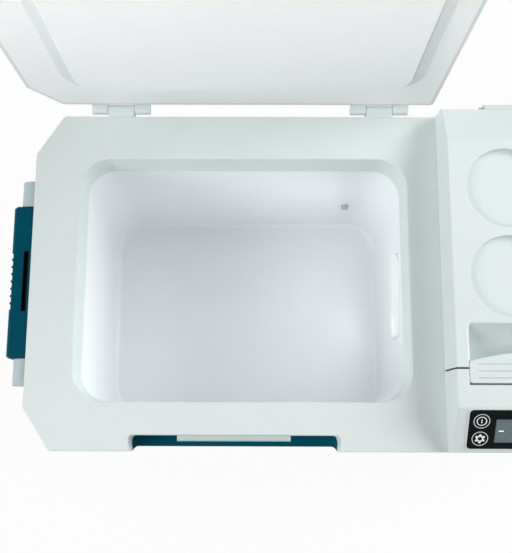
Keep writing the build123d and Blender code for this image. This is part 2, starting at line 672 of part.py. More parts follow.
def discharge_line():
    """Hot-gas tube from the compressor's side up and over to the condenser."""
    z0 = CAN_LOW + COMPRESSOR_HEIGHT / 2
    x0 = MID + COMPRESSOR_R
    x1 = MID + FAN_R + CONDENSER_SIDE + CONDENSER_PLATE / 2
    high = FAN_Z + FAN_R - 2 * FAN_DUCT
    y1 = (FAN_BACK + CONDENSER_BACK) / 2
    out = x1 + LINE_CLEAR
    points = [(x0, COMPRESSOR_Y, z0), (out, COMPRESSOR_Y, z0), (out, COMPRESSOR_Y, high),
              (out, y1, high), (x1, y1, high)]
    return pipe(points, LINE_BEND)


def suction_line():
    """Cold return tube from the evaporator through the bulkhead to the compressor."""
    z0 = CAN_LOW + COMPRESSOR_HEIGHT * 0.68
    x1 = MID - COMPRESSOR_R
    y0 = COMPRESSOR_Y + 2 * COMPRESSOR_R
    x0 = SPLIT + SHEET
    turn = (x0 + x1) / 2
    return pipe([(x0, y0, z0), (turn, y0, z0), (turn, COMPRESSOR_Y, z0), (x1, COMPRESSOR_Y, z0)], LINE_BEND)


def louvres(y0, y1, outward):
    """Slanting slats across a grille, lower on the outside."""
    shape = Part()
    pitch = (GRILLE_HIGH - GRILLE_LOW) / LOUVRE_COUNT
    for i in range(LOUVRE_COUNT):
        z = GRILLE_LOW + (i + 0.5) * pitch
        slat = Rot(-outward * LOUVRE_TILT, 0, 0) * Box(2 * GRILLE_HALF - 4, 3 * (y1 - y0), LOUVRE_THICK)
        shape += Pos(MID, (y0 + y1) / 2, z) * slat
    return shape & along_y(grille_hole(-3), y0, y1)


def vent_grille(face, outward):
    """Louvred grille in the casing's wall, clipped from inside by its flange."""
    wall_in = face - outward * WALL
    back = wall_in - outward * 2 * SHEET
    y0, y1 = sorted((face, back))
    frame = along_y(grille_hole(-CLEAR / 2) - grille_hole(-5), y0, y1)
    frame += along_y(grille_hole(GRILLE_FLANGE) - grille_hole(-5), *sorted((wall_in, back)))
    return frame + louvres(y0, y1, outward)


def battery_bay():
    """Two battery wells hung in the frame from a flange, parted by a rib."""
    low = RIM - BAY_DEPTH
    body = prism(bay_plan(0), low, RIM) + prism(bay_plan(BAY_FLANGE), RIM, RIM + 2)
    inner = prism(bay_plan(-BAY_WALL), low + BAY_WALL, RIM + 3)
    rib = block(MID - BAY_WALL, MID + BAY_WALL, FRONT, BACK, low, RIM - 10)
    return body - (inner - rib)


def battery_terminal(side):
    """Contact block on the bay's front wall with two blades."""
    half = (MID - SPLIT - BAY_SIDE) / 2
    x = MID + (-half if side == "left" else half)
    y0 = FRONT + BAY_FRONT + BAY_WALL
    z0 = RIM - BAY_DEPTH + BAY_WALL
    body = block(x - 16, x + 16, y0, y0 + 9, z0, z0 + 22)
    for dx in (-9, 9):
        body += block(x + dx - 0.5, x + dx + 0.5, y0 + 9, y0 + 20, z0 + 6, z0 + 16)
    return body


def cover_seal():
    """Rubber ring round the bay's flange, which the cover's rib presses on."""
    inside = bay_plan(BAY_FLANGE + CLEAR)
    return prism(offset(inside, SEAL_WIDTH) - inside, RIM, RIM + SEAL_HEIGHT)


# ---- Raised section ----
def is_brow(edge):
    """True for the two long edges where the section's top meets its front and rear slopes."""
    return edge.center().Z > TOP - 1 and abs((edge % 0.5).X) > 0.9 and edge.length > 2 * TAB_SIDE


def section_form(y0, y1, inset, low):
    """The raised section's outside between two planes, moved in by inset, down to low."""
    side = Polygon((FRONT, RIM - SKIRT), (FRONT, RIM + NOSE_HEIGHT), (FRONT + NOSE_RUN, TOP),
                   (BACK - TAIL_RUN, TOP), (BACK, RIM + TAIL_HEIGHT), (BACK, RIM - SKIRT), align=None)
    lean = SIDE_LEAN * (RAISE + SKIRT) / RAISE
    cross = Polygon((SPLIT - lean + SIDE_LEAN, RIM - SKIRT), (SPLIT + SIDE_LEAN, TOP),
                    (RIGHT - SIDE_LEAN, TOP), (RIGHT + lean - SIDE_LEAN, RIM - SKIRT), align=None)
    if inset:
        side = offset(side, -inset, kind=Kind.INTERSECTION)
        cross = offset(cross, -inset, kind=Kind.INTERSECTION)
    form = along_x(side, SPLIT - SKIRT, RIGHT + SKIRT) & along_y(cross, FRONT - 1, BACK + 1)
    form &= prism(cut_corner_outline(inset), RIM - SKIRT, TOP + 1)
    if not inset:
        form = fillet([e for e in form.edges() if is_brow(e)], BROW_ROUND)
        high = [e for e in form.edges() if e.center().Z > RIM + NOSE_HEIGHT / 2]
        form = fillet([e for e in high if abs((e % 0.5).X) < 0.9 or e.center().Z < TOP - BROW_ROUND], TOP_ROUND)
    return form & block(SPLIT - SKIRT, RIGHT + SKIRT, y0, y1, low, TOP + 1)


def fascia_outline(grow):
    """The control fascia on the slope, grown all round."""
    width = 2 * FASCIA_HALF + 2 * grow
    height = FASCIA_HIGH - FASCIA_LOW + 2 * grow
    return Pos(0, (FASCIA_HIGH + FASCIA_LOW) / 2) * RectangleRounded(width, height, FASCIA_ROUND + grow)


def on_face(sketch, low, high):
    """A sketch on the control face, carried between two heights above the slope."""
    return extrude(CONTROL_FACE.offset(low) * sketch, amount=high - low, dir=CONTROL_FACE.z_dir)


def button_places():
    """Button centres on the control face: left pair then right pair, upper first."""
    return [(side * BUTTON_OFF, s) for side in (-1, 1) for s in reversed(BUTTON_ROWS)]


def console_housing():
    """Fixed front of the raised section, with the control face and the tab's pocket."""
    y1 = FRONT + SEAM - SEAM_GAP / 2
    body = section_form(FRONT, y1, 0, RIM)
    body += on_face(fascia_outline(FASCIA_LIP), -WALL / 2, FASCIA_PROUD)
    cavity = section_form(FRONT, y1 - WALL, WALL, RIM - 1)
    pocket = tab_pocket(CLEAR)
    cavity -= grown_pocket()
    body -= cavity + pocket
    for side in (-1, 1):
        for s in (FASCIA_LOW + 6, FASCIA_HIGH - 6):
            body += on_face(Pos(side * (WINDOW_HALF + 3), s) * Circle(2.5), -WALL - 5, -WALL / 2)
    body -= on_face(fascia_outline(0), FASCIA_PROUD - FASCIA_THICK, FASCIA_PROUD + 1)
    body -= on_face(window_outline(-4), -2 * WALL, 0)
    for u, s in button_places():
        body -= on_face(Pos(u, s) * Circle(BUTTON_R + BUTTON_FLANGE + CLEAR), -2 * WALL, 0)
    y0 = y1 - WALL
    z0 = TOP - TAB_HOOK_DROP
    return body - block(MID - TAB_HOOK_HALF - 1, MID + TAB_HOOK_HALF + 1, y0 - 1, y1 + 1, z0 - 1, z0 + 4.5)


def display_fascia():
    """Black panel with a window and four button holes."""
    body = on_face(fascia_outline(-0.05), FASCIA_PROUD - FASCIA_THICK, FASCIA_PROUD)
    body -= on_face(window_outline(0), -FASCIA_THICK, FASCIA_THICK)
    for u, s in button_places():
        body -= on_face(Pos(u, s) * Circle(BUTTON_R + STOP_GAP), -FASCIA_THICK, FASCIA_THICK)
    return body


def window_outline(grow):
    """The display window on the slope."""
    width = 2 * (WINDOW_HALF + grow)
    height = WINDOW_HIGH - WINDOW_LOW + 2 * grow
    return Pos(0, (WINDOW_HIGH + WINDOW_LOW) / 2) * Rectangle(width, height)


def display_window():
    """Smoked window of the temperature display."""
    return on_face(window_outline(-0.05), FASCIA_PROUD - FASCIA_THICK, FASCIA_PROUD - 0.3)


def button(place):
    """Push button: cap, retaining flange and the stem that works its switch."""
    u, s = place
    under = FASCIA_PROUD - FASCIA_THICK - STOP_GAP
    body = on_face(Pos(u, s) * Circle(BUTTON_R), under - 1, FASCIA_PROUD + 0.3)
    body = fillet(body.edges().sort_by(Axis(CONTROL_FACE.origin, CONTROL_FACE.z_dir))[-1], 0.4)
    body += on_face(Pos(u, s) * Circle(BUTTON_R + BUTTON_FLANGE), under - 1, under)
    return body + on_face(Pos(u, s) * Circle(2.2), under - 1 - BUTTON_STEM, under - 1)


def control_board():
    """Circuit board behind the control face, with a switch under each button."""
    top = -WALL - 5
    board = Pos(0, (FASCIA_HIGH + FASCIA_LOW) / 2) * Rectangle(2 * TAB_HALF, FASCIA_HIGH - FASCIA_LOW - 4)
    body = on_face(board, top - BOARD_THICK, top)
    under = FASCIA_PROUD - FASCIA_THICK - STOP_GAP
    reach = under - 1 - BUTTON_STEM - BUTTON_TRAVEL - STOP_GAP
    for u, s in button_places():
        body += on_face(Pos(u, s) * Rectangle(SWITCH_SIZE, SWITCH_SIZE), top, reach)
    return body + on_face(window_outline(-5), top, FASCIA_PROUD - FASCIA_THICK)


def tab_outline(grow, front=0.0):
    """The pull tab in plan, square in front and arched behind, grown all round and more in front."""
    half = TAB_HALF + grow
    y0 = FRONT + TAB_FRONT - grow - front
    y1 = FRONT + TAB_BACK + grow
    front = Polyline((MID - half, y1), (MID - half, y0), (MID + half, y0), (MID + half, y1))
    back = ThreePointArc((MID + half, y1), (MID, y1 + TAB_ARCH), (MID - half, y1))
    return make_face([front, back])


def tab_pocket(grow):
    """The space the tab works in, across console and cover."""
    return prism(tab_outline(grow, TAB_FRONT_GAP - CLEAR), TOP - TAB_POCKET, TOP + 1)


def grown_pocket():
    """The pocket with its walls, which the hollow under it goes around."""
    return prism(tab_outline(CLEAR + WALL, TAB_FRONT_GAP - CLEAR), TOP - TAB_POCKET - WALL, TOP + 1)


def scoop_rise(foot, rim, low, high):
    """The hollow curve of the scoop, from its foot up to its rim."""
    return ThreePointArc((foot, low), ((foot + rim) / 2, low + (high - low) * 0.36), (rim, high))


def scoop(grow):
    """Finger scoop behind the tab, rising in a hollow curve to the back and to both sides."""
    half = TAB_HALF + grow
    y0 = FRONT + TAB_BACK - 1 - grow
    y1 = FRONT + SCOOP_BACK + grow
    foot = half - (y1 - y0)
    low, high, over = TOP - SCOOP_DEPTH - grow, TOP - grow, TOP + 3
    back = [scoop_rise(y0, y1, low, high), Polyline((y1, high), (y1, over), (y0, over), (y0, low))]
    right = [scoop_rise(foot, half, low, high), Polyline((half, high), (half, over), (0, over), (0, low), (foot, low))]
    side = make_face(right)
    dish = along_x(make_face(back), MID - half, MID + half)
    dish &= along_y(Pos(MID, 0) * (side + mirror(side, about=Plane.YZ)), y0 - 1, y1 + 1)
    return dish & prism(rounded(MID - half, MID + half, y0 - 50, y1, SCOOP_ROUND + grow), low - 1, over + 1)


def cup_centres():
    """Centres of the four cup rests in the cover's top."""
    y = FRONT + SCOOP_BACK + CUP_BEHIND + CUP_R
    half = CUP_R + CUP_APART_X / 2
    return [(x, row) for x in (MID - half, MID + half) for row in (y, y + 2 * CUP_R + CUP_APART_Y)]


def battery_cover():
    """Hinged shell over the batteries, with four cup rests and the finger scoop."""
    y0 = FRONT + SEAM + SEAM_GAP / 2
    body = section_form(y0, BACK, 0, RIM + STOP_GAP)
    cavity = section_form(y0 + WALL, BACK - WALL, WALL, RIM - 1)
    cavity -= grown_pocket() + scoop(WALL)
    for x, y in cup_centres():
        body -= rod_z(TOP - CUP_DEPTH, TOP + 1, x, y, CUP_R)
        cavity -= rod_z(TOP - CUP_DEPTH - WALL, TOP + 1, x, y, CUP_R + WALL)
    body -= cavity
    body -= tab_pocket(CLEAR) + scoop(0)
    seal_middle = BAY_FLANGE + CLEAR + SEAL_WIDTH / 2
    rib = bay_plan(seal_middle + 1) - bay_plan(seal_middle - 1)
    body += prism(rib, RIM + SEAL_HEIGHT + STOP_GAP, TOP - WALL / 2) & cavity
    body -= block(MID - TAB_HOOK_HALF - 2, MID + TAB_HOOK_HALF + 2, y0 - 1, FRONT + TAB_AXIS + 5.5,
                  TOP - TAB_HOOK_DROP - 3, TOP - TAB_POCKET + 1)
    body += cover_knuckles()
    pin = TAB_HALF + 2 * WALL
    return body - rod_x(MID - pin, MID + pin, FRONT + TAB_AXIS, TOP - TAB_AXIS_DOWN, TAB_PIN_R + FIT)


def cover_knuckles():
    """The cover's two hinge knuckles, one at each end of the fixed one."""
    shape = Part()
    y, z = COVER_AXIS_Y, COVER_AXIS_Z
    for side in (-1, 1):
        x0, x1 = sorted((MID + side * COVER_HINGE_HALF, MID + side * (COVER_HINGE_HALF - COVER_KNUCKLE)))
        arm = Polygon((BACK - 1, z - COVER_KNUCKLE_R), (y, z - COVER_KNUCKLE_R), (y, z + COVER_KNUCKLE_R),
                      (BACK - 2 * WALL, z + COVER_KNUCKLE_R / 2), (BACK - 1, z - 1), align=None)
        shape += rod_x(x0, x1, y, z, COVER_KNUCKLE_R) + along_x(arm, x0, x1)
        shape -= rod_x(x0 - 1, x1 + 1, y, z, PIN_R + FIT)
    return shape


def cover_latch():
    """Pull tab: arched plate, pivot boss and the leg whose hook enters the console."""
    plate = prism(tab_outline(0), TOP - TAB_THICK, TOP)
    plate = fillet(plate.edges().filter_by(Axis.Z), TAB_ROUND)
    plate = fillet(plate.edges().group_by(Axis.Z)[-1], 0.8)
    for i in range(GROOVE_COUNT):
        y0 = FRONT + TAB_FRONT + GROOVE_FIRST + i * GROOVE_PITCH
        reach = TAB_HALF - GROOVE_INSET
        plate -= block(MID - reach, MID + reach, y0, y0 + GROOVE_WIDTH, TOP - GROOVE_DEPTH, TOP + 1)
    y, z = FRONT + TAB_AXIS, TOP - TAB_AXIS_DOWN
    body = plate + rod_x(MID - TAB_HALF, MID + TAB_HALF, y, z, TAB_BOSS_R)
    half = TAB_HOOK_HALF
    tip = FRONT + SEAM - SEAM_GAP / 2 - WALL + 0.5
    low = TOP - TAB_HOOK_DROP
    leg = [(y - TAB_BOSS_R, z), (y, z), (y - 0.5, low), (tip, low), (tip + 1.5, low + 3), (y - 3, low + 3)]
    body += along_x(Polygon(*leg, align=None), MID - half, MID + half)
    return body - rod_x(MID - TAB_HALF - 1, MID + TAB_HALF + 1, y, z, TAB_PIN_R + FIT)


def cover_latch_pin():
    """Steel pin that the pull tab turns on."""
    reach = TAB_HALF + CLEAR + WALL - 0.5
    return rod_x(MID - reach, MID + reach, FRONT + TAB_AXIS, TOP - TAB_AXIS_DOWN, TAB_PIN_R)


def cover_hinge_pin():
    """Steel pin of the battery cover's hinge."""
    half = COVER_HINGE_HALF + COVER_PIN_OUT
    return rod_x(MID - half, MID + half, COVER_AXIS_Y, COVER_AXIS_Z, PIN_R)


# ---- Lid ----
def lid_outer():
    """Lid shell with the latch recess and the outer hinge knuckles."""
    body = extrude(Pos(0, 0, LID_LOW) * lid_plan(0), amount=LID_THICK, taper=LID_DRAFT)
    body = fillet(body.edges().group_by(Axis.Z)[-1], LID_ROUND)
    hollow = extrude(Pos(0, 0, LID_LOW) * lid_plan(WALL), amount=LID_THICK - WALL, taper=LID_DRAFT)
    cheek = prism(notch_plan(WALL, RECESS_ROUND), LID_LOW, LID_TOP)
    body -= hollow - cheek
    body -= prism(notch_plan(0, RECESS_ROUND), LID_LOW - 1, LID_TOP + 1)
    y, z = LID_AXIS.position.Y, LID_AXIS.position.Z
    for centre in HINGE_XS:
        spans = hinge_spans(centre)
        for x0, x1 in (spans[0], spans[2]):
            body += rod_x(x0, x1, y, z, KNUCKLE_R) + lid_arm(x0, x1)
            body -= rod_x(x0 - 1, x1 + 1, y, z, PIN_R + FIT)
    reach = NOTCH_WIDTH / 2 + WALL
    body -= rod_x(NOTCH_X - reach, NOTCH_X + reach, FLAP_Y, FLAP_Z, PIN_R + FIT)
    return lid_opened(body)


def plug_plan(inset):
    """The part of the inner panel that reaches into the mouth, moved in by inset."""
    x0, x1, y0, y1 = MOUTH
    d = LID_PLUG_INSET + inset
    return rounded(x0 + d, x1 - d, y0 + d, y1 - d, OPEN_ROUND - d)


def lid_inner():
    """Pale inner panel: a flat border and a shallow tray that plugs the mouth."""
    border = lid_plan(PANEL_INSET) - notch_plan(WALL, RECESS_ROUND)
    body = prism(border, LID_LOW, LID_LOW + LID_PANEL)
    plug = prism(plug_plan(0), LID_LOW - LID_PLUG_DROP, LID_LOW + LID_PANEL)
    plug = fillet(plug.edges().group_by(Axis.Z)[0], LID_PANEL)
    body += plug
    body -= prism(plug_plan(LID_PANEL), LID_LOW - LID_PLUG_DROP + LID_PANEL, LID_LOW + LID_PANEL + 1)
    return lid_opened(body)


def lid_foam():
    """Foam slab between the lid's shell and its inner panel."""
    z0 = LID_LOW + LID_PANEL
    thick = LID_THICK - WALL - LID_PANEL
    body = extrude(Pos(0, 0, z0) * lid_plan(PANEL_INSET), amount=thick, taper=LID_DRAFT)
    body -= prism(notch_plan(WALL, RECESS_ROUND), z0 - 1, LID_TOP)
    body += prism(plug_plan(LID_PANEL), z0 - LID_PLUG_DROP, z0 + 1)
    return lid_opened(body)


def lid_gasket():
    """Rubber ring under the lid that meets the rim around the mouth."""
    inner = offset(plug_plan(0), GASKET_AWAY)
    outer = offset(plug_plan(0), GASKET_AWAY + GASKET_WIDTH)
    return lid_opened(prism(outer - inner, RIM + STOP_GAP, LID_LOW))


def lid_hinge_pin(index):
    """Steel pin through one lid hinge."""
    spans = hinge_spans(HINGE_XS[index])
    return rod_x(spans[0][0], spans[2][1], LID_AXIS.position.Y, LID_AXIS.position.Z, PIN_R)


def latch_flap():
    """Front latch: barrel in the lid's recess, plate over the rim, hook under the keeper."""
    x0, x1 = NOTCH_X - FLAP_HALF, NOTCH_X + FLAP_HALF
    y0 = FLAP_Y - FLAP_AXIS_R
    low = RIM - FLAP_DROP
    body = rod_x(x0, x1, FLAP_Y, FLAP_Z, FLAP_AXIS_R)
    body += block(x0, x1, y0, y0 + FLAP_THICK, low, FLAP_Z)
    hook_top = RIM - KEEPER_THICK - 3 * CLEAR
    tip = FRONT + NOTCH_DEPTH - 3
    hook = [(y0 + 1, hook_top), (tip, hook_top), (tip, hook_top - 2), (y0 + 1, hook_top - 2 * HOOK_THICK)]
    half = KEEPER_WIDTH / 2 - 3
    body += along_x(Polygon(*hook, align=None), NOTCH_X - half, NOTCH_X + half)
    body = fillet([e for e in body.edges().group_by(Axis.Z)[0]], 2)
    body -= rod_x(x0 - 1, x1 + 1, FLAP_Y, FLAP_Z, PIN_R + FIT)
    return lid_opened(body)


def latch_pin():
    """Steel pin that the front latch turns on."""
    reach = NOTCH_WIDTH / 2 + WALL
    return lid_opened(rod_x(NOTCH_X - reach, NOTCH_X + reach, FLAP_Y, FLAP_Z, PIN_R))


# ---- Side handles ----
def handle_bracket(side):
    """Back plate with the two round lugs that carry a handle."""
    half = HANDLE_LENGTH / 2 + CLEAR
    x_wall = LEFT + CASE_INSET
    low = HANDLE_Z - 2 * HANDLE_BARREL_R
    high = RIM - SKIRT - CLEAR
    body = block(x_wall - WALL, x_wall, HANDLE_Y - half - LUG_LENGTH, HANDLE_Y + half + LUG_LENGTH, low, high)
    for s in (-1, 1):
        y0, y1 = sorted((HANDLE_Y + s * half, HANDLE_Y + s * (half + LUG_LENGTH)))
        body += rod_y(y0, y1, HANDLE_X, HANDLE_Z, LUG_R)
        arm = Polygon((HANDLE_X, HANDLE_Z - LUG_R), (x_wall, low), (x_wall, high),
                      (HANDLE_X + LUG_R - 1, high), (HANDLE_X, HANDLE_Z), align=None)
        body += along_y(arm, y0, y1)
    reach = half + LUG_LENGTH - LUG_CAP
    body -= rod_y(HANDLE_Y - reach, HANDLE_Y + reach, HANDLE_X, HANDLE_Z, HANDLE_PIN_R + FIT)
    return mirrored(body, side)


def handle_pin(side):
    """Steel rod from lug to lug through the handle's barrel."""
    half = HANDLE_LENGTH / 2 + CLEAR + LUG_LENGTH - LUG_CAP - 1
    return mirrored(rod_y(HANDLE_Y - half, HANDLE_Y + half, HANDLE_X, HANDLE_Z, HANDLE_PIN_R), side)


def handle(side):
    """Hanging carry handle: barrel, plate with a finger opening, strap slot and grip ribs."""
    y0, y1 = HANDLE_Y - HANDLE_LENGTH / 2, HANDLE_Y + HANDLE_LENGTH / 2
    face = HANDLE_X - HANDLE_FACE
    top = HANDLE_Z + HANDLE_BARREL_R
    body = rod_y(y0, y1, HANDLE_X, HANDLE_Z, HANDLE_BARREL_R)
    inner = face + HANDLE_PLATE
    low = HANDLE_Z - HANDLE_DROP
    plate = Polygon((face, low), (face, top - HANDLE_EASE), (face + HANDLE_EASE, top), (HANDLE_X, top), (HANDLE_X, HANDLE_Z),
                    (inner, HANDLE_Z - GRIP_HIGH / 2), (inner, HANDLE_Z - GRIP_LOW),
                    (inner + 3, HANDLE_Z - GRIP_LOW - 3), (inner + 3, low), align=None)
    body += along_y(plate, y0, y1)
    bottom = body.edges().filter_by(Axis.Y).group_by(Axis.Z)[0]
    body = fillet(bottom, 4)
    body = chamfer(body.edges().group_by(Axis.Y)[0] + body.edges().group_by(Axis.Y)[-1], HANDLE_END)
    grip = RectangleRounded(2 * GRIP_HALF, GRIP_LOW - GRIP_HIGH, 12)
    grip = Pos(HANDLE_Y, HANDLE_Z - (GRIP_HIGH + GRIP_LOW) / 2) * grip
    body -= along_x(grip, face - 1, HANDLE_X + HANDLE_BARREL_R)
    corner = HANDLE_LENGTH / 2 - HANDLE_TAPER_IN
    for s in (-1, 1):
        tip = HANDLE_Y + s * (HANDLE_LENGTH / 2 + HANDLE_TAPER_OUT)
        wedge = Polygon((HANDLE_Y + s * corner, low - 1), (tip, low - 1), (tip, low + HANDLE_TAPER_UP), align=None)
        body -= along_x(wedge, face - 1, HANDLE_X + HANDLE_BARREL_R)
    body -= strap_slot(0, top + 1)
    pitch = RIB_SPAN / RIB_COUNT
    pocket = Polygon((face - 1, top - RIB_HIGH), (face + RIB_CUT, top - RIB_HIGH),
                     (face + RIB_CUT, top - HANDLE_EASE), (face + HANDLE_EASE, top - RIB_CUT),
                     (face + HANDLE_EASE, top + 1), (face - 1, top + 1), align=None)
    for i in range(RIB_COUNT):
        y = HANDLE_Y - RIB_SPAN / 2 + (i + 0.5) * pitch
        body -= along_y(pocket, y - (pitch - RIB_WIDE) / 2, y + (pitch - RIB_WIDE) / 2)
    body -= rod_y(y0 - 1, y1 + 1, HANDLE_X, HANDLE_Z, HANDLE_PIN_R + FIT)
    return mirrored(body, side)


def strap_slot(inset, high):
    """The strap slot along the top of the handle's barrel, moved in by inset."""
    half_y = STRAP_SLOT / 2 - inset
    half_x = STRAP_WIDTH / 2 - inset
    low = HANDLE_Z + HANDLE_BARREL_R - STRAP_DEPTH + inset
    x = HANDLE_X - STRAP_OUT
    return block(x - half_x, x + half_x, HANDLE_Y - half_y, HANDLE_Y + half_y, low, high)


def strap_liner(side):
    """Black bushing that lines the strap slot."""
    top = HANDLE_Z + HANDLE_BARREL_R - 0.6
    return mirrored(strap_slot(0, top) - strap_slot(0.8, top + 1), side)


# ---- Small pieces ----
def interior_light_lens():
    """Long lens on the compartment's right wall, bowed from top to bottom, with soft ends."""
    x = MOUTH[1] + LINER_OUT_X
    y = (MOUTH[2] + MOUTH[3]) / 2
    z0, z1 = RIM - LIGHT_DOWN - LIGHT_HEIGHT / 2, RIM - LIGHT_DOWN + LIGHT_HEIGHT / 2
    bow = ThreePointArc((x - LIGHT_EDGE, z0), (x - LIGHT_PROUD, (z0 + z1) / 2), (x - LIGHT_EDGE, z1))
    section = make_face([bow, Polyline((x - LIGHT_EDGE, z1), (x, z1), (x, z0), (x - LIGHT_EDGE, z0))])
    body = along_y(section, y - LIGHT_LENGTH / 2, y + LIGHT_LENGTH / 2)
    ends = body.edges().filter_by(Axis.X)
    return fillet(ends, LIGHT_HEIGHT / 4)


def temperature_sensor():
    """Sensor button on the compartment's back wall."""
    y = MOUTH[3] + LINER_OUT_Y
    x = MOUTH[1] - OPEN_ROUND - 3 * SENSOR_R
    body = rod_y(y - 5, y, x, CABIN_FLOOR + CABIN_DEPTH / 3, SENSOR_R)
    return fillet(body.edges().group_by(Axis.Y)[0], 1)


def inlet_outline(inset):
    """The power inlet's body in (X, Z), moved in by inset."""
    return Pos(INLET_X, INLET_Z) * RectangleRounded(INLET_WIDTH - 2 * inset, INLET_HEIGHT - 2 * inset, 4)


def power_inlet():
    """Socket body in the casing's back wall, with its round socket and centre pin."""
    deep = CASE_BACK - INLET_DEPTH
    body = along_y(inlet_outline(0.1), deep, CASE_BACK)
    body -= rod_y(deep + 4, CASE_BACK + 1, INLET_X, INLET_Z, INLET_SOCKET_R)
    body += rod_y(deep + 3, deep + 4 + INLET_PIN, INLET_X, INLET_Z, INLET_PIN_R)
    for s in (-1, 1):
        x0, x1 = sorted((INLET_X + s * 14, INLET_X + s * 19))
        body += block(x0, x1, CASE_BACK, CASE_BACK + 4.4, INLET_Z + 12, INLET_Z + 14.5)
        body += rod_x(x0, x1, CASE_BACK + 2.4, INLET_Z + 13, 2)
    return body - rod_x(INLET_X - 20, INLET_X + 20, CASE_BACK + 2.4, INLET_Z + 13, 0.8 + FIT)


def inlet_cover():
    """Flap over the power inlet, hung from a pin above it."""
    y0 = CASE_BACK + STOP_GAP
    flap = Pos(INLET_X, INLET_Z - 1.5) * RectangleRounded(INLET_WIDTH, INLET_HEIGHT - 8, 4)
    body = along_y(flap, y0, y0 + 2)
    x0, x1 = INLET_X - 13.6, INLET_X + 13.6
    body += block(x0, x1, y0, y0 + 2, INLET_Z + 5, INLET_Z + 13)
    body += rod_x(x0, x1, CASE_BACK + 2.4, INLET_Z + 13, 2)
    return body - rod_x(x0 - 1, x1 + 1, CASE_BACK + 2.4, INLET_Z + 13, 0.8 + FIT)


def inlet_cover_pin():
    """Pin of the inlet's flap."""
    return rod_x(INLET_X - 19, INLET_X + 19, CASE_BACK + 2.4, INLET_Z + 13, 0.8)


def skirt_screws():
    """Pan-head screws along the back of the frame's skirt."""
    heads = []
    for x in (HINGE_XS[0] + SCREW_BESIDE, (LEFT + SPLIT) / 2 + SCREW_BESIDE, SPLIT + SCREW_BESIDE / 2,
              RIGHT - SCREW_BESIDE):
        head = rod_y(BACK, BACK + SCREW_THICK, x, RIM - 0.7 * SKIRT, SCREW_R)
        heads.append(head - block(x - SCREW_R, x + SCREW_R, BACK + SCREW_THICK - 0.8, BACK + 3 * SCREW_THICK,
                                  RIM - 0.7 * SKIRT - 0.5, RIM - 0.7 * SKIRT + 0.5))
    return Compound(children=heads)


def pieces():
    """Every separate piece of the cool box, by name."""
    power, settings, warmer, cooler = button_places()
    foot_x = (LEFT + FOOT_INSET_X, RIGHT - FOOT_INSET_X)
    foot_y = (FRONT + FOOT_INSET_Y, BACK - FOOT_INSET_Y)
    made = {
        "outer_casing": outer_casing(),
        "top_frame": top_frame(),
        "latch_keeper": latch_keeper(),
        "inner_liner": inner_liner(),
        "evaporator_coil": evaporator_coil(),
        "insulation_foam": insulation_foam(),
        "bulkhead": bulkhead(),
        "base_tray": base_tray(),
        "foot_front_left": foot(foot_x[0], foot_y[0]),
        "foot_front_right": foot(foot_x[1], foot_y[0]),
        "foot_rear_left": foot(foot_x[0], foot_y[1]),
        "foot_rear_right": foot(foot_x[1], foot_y[1]),
        "compressor": compressor(),
        "compressor_mounts": compressor_mounts(),
        "condenser": condenser(),
        "fan_frame": fan_frame(),
        "fan_rotor": fan_rotor(),
        "discharge_line": discharge_line(),
        "suction_line": suction_line(),
        "vent_grille_front": vent_grille(FRONT + CASE_INSET, -1),
        "vent_grille_rear": vent_grille(CASE_BACK, 1),
        "battery_bay": battery_bay(),
        "battery_terminal_left": battery_terminal("left"),
        "battery_terminal_right": battery_terminal("right"),
        "cover_seal": cover_seal(),
        "console_housing": console_housing(),
        "display_fascia": display_fascia(),
        "display_window": display_window(),
        "control_board": control_board(),
        "power_button": button(power),
        "settings_button": button(settings),
        "temp_up_button": button(warmer),
        "temp_down_button": button(cooler),
        "battery_cover": battery_cover(),
        "cover_hinge_pin": cover_hinge_pin(),
        "cover_latch": cover_latch(),
        "cover_latch_pin": cover_latch_pin(),
        "lid_outer": lid_outer(),
        "lid_inner": lid_inner(),
        "lid_foam": lid_foam(),
        "lid_gasket": lid_gasket(),
        "lid_hinge_pin_left": lid_hinge_pin(0),
        "lid_hinge_pin_right": lid_hinge_pin(1),
        "latch_flap": latch_flap(),
        "latch_pin": latch_pin(),
        "interior_light_lens": interior_light_lens(),
        "temperature_sensor": temperature_sensor(),
        "power_inlet": power_inlet(),
        "inlet_cover": inlet_cover(),
        "inlet_cover_pin": inlet_cover_pin(),
        "skirt_screws": skirt_screws(),
    }
    for side in ("left", "right"):
        made["handle_bracket_" + side] = handle_bracket(side)
        made["handle_" + side] = handle(side)
        made["handle_pin_" + side] = handle_pin(side)
        made["strap_liner_" + side] = strap_liner(side)
    return made


os.makedirs("parts", exist_ok=True)
for name, shape in pieces().items():
    export_step(shape, f"parts/{name}.step")
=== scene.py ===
"""Portable compressor cool box, seen from above with its lid standing open.

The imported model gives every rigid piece. This script adds the finish of each surface,
the printed marks on the control face, the lamps and the camera.
Lengths are metres, +Z is up and the user stands at -Y.
"""
import json

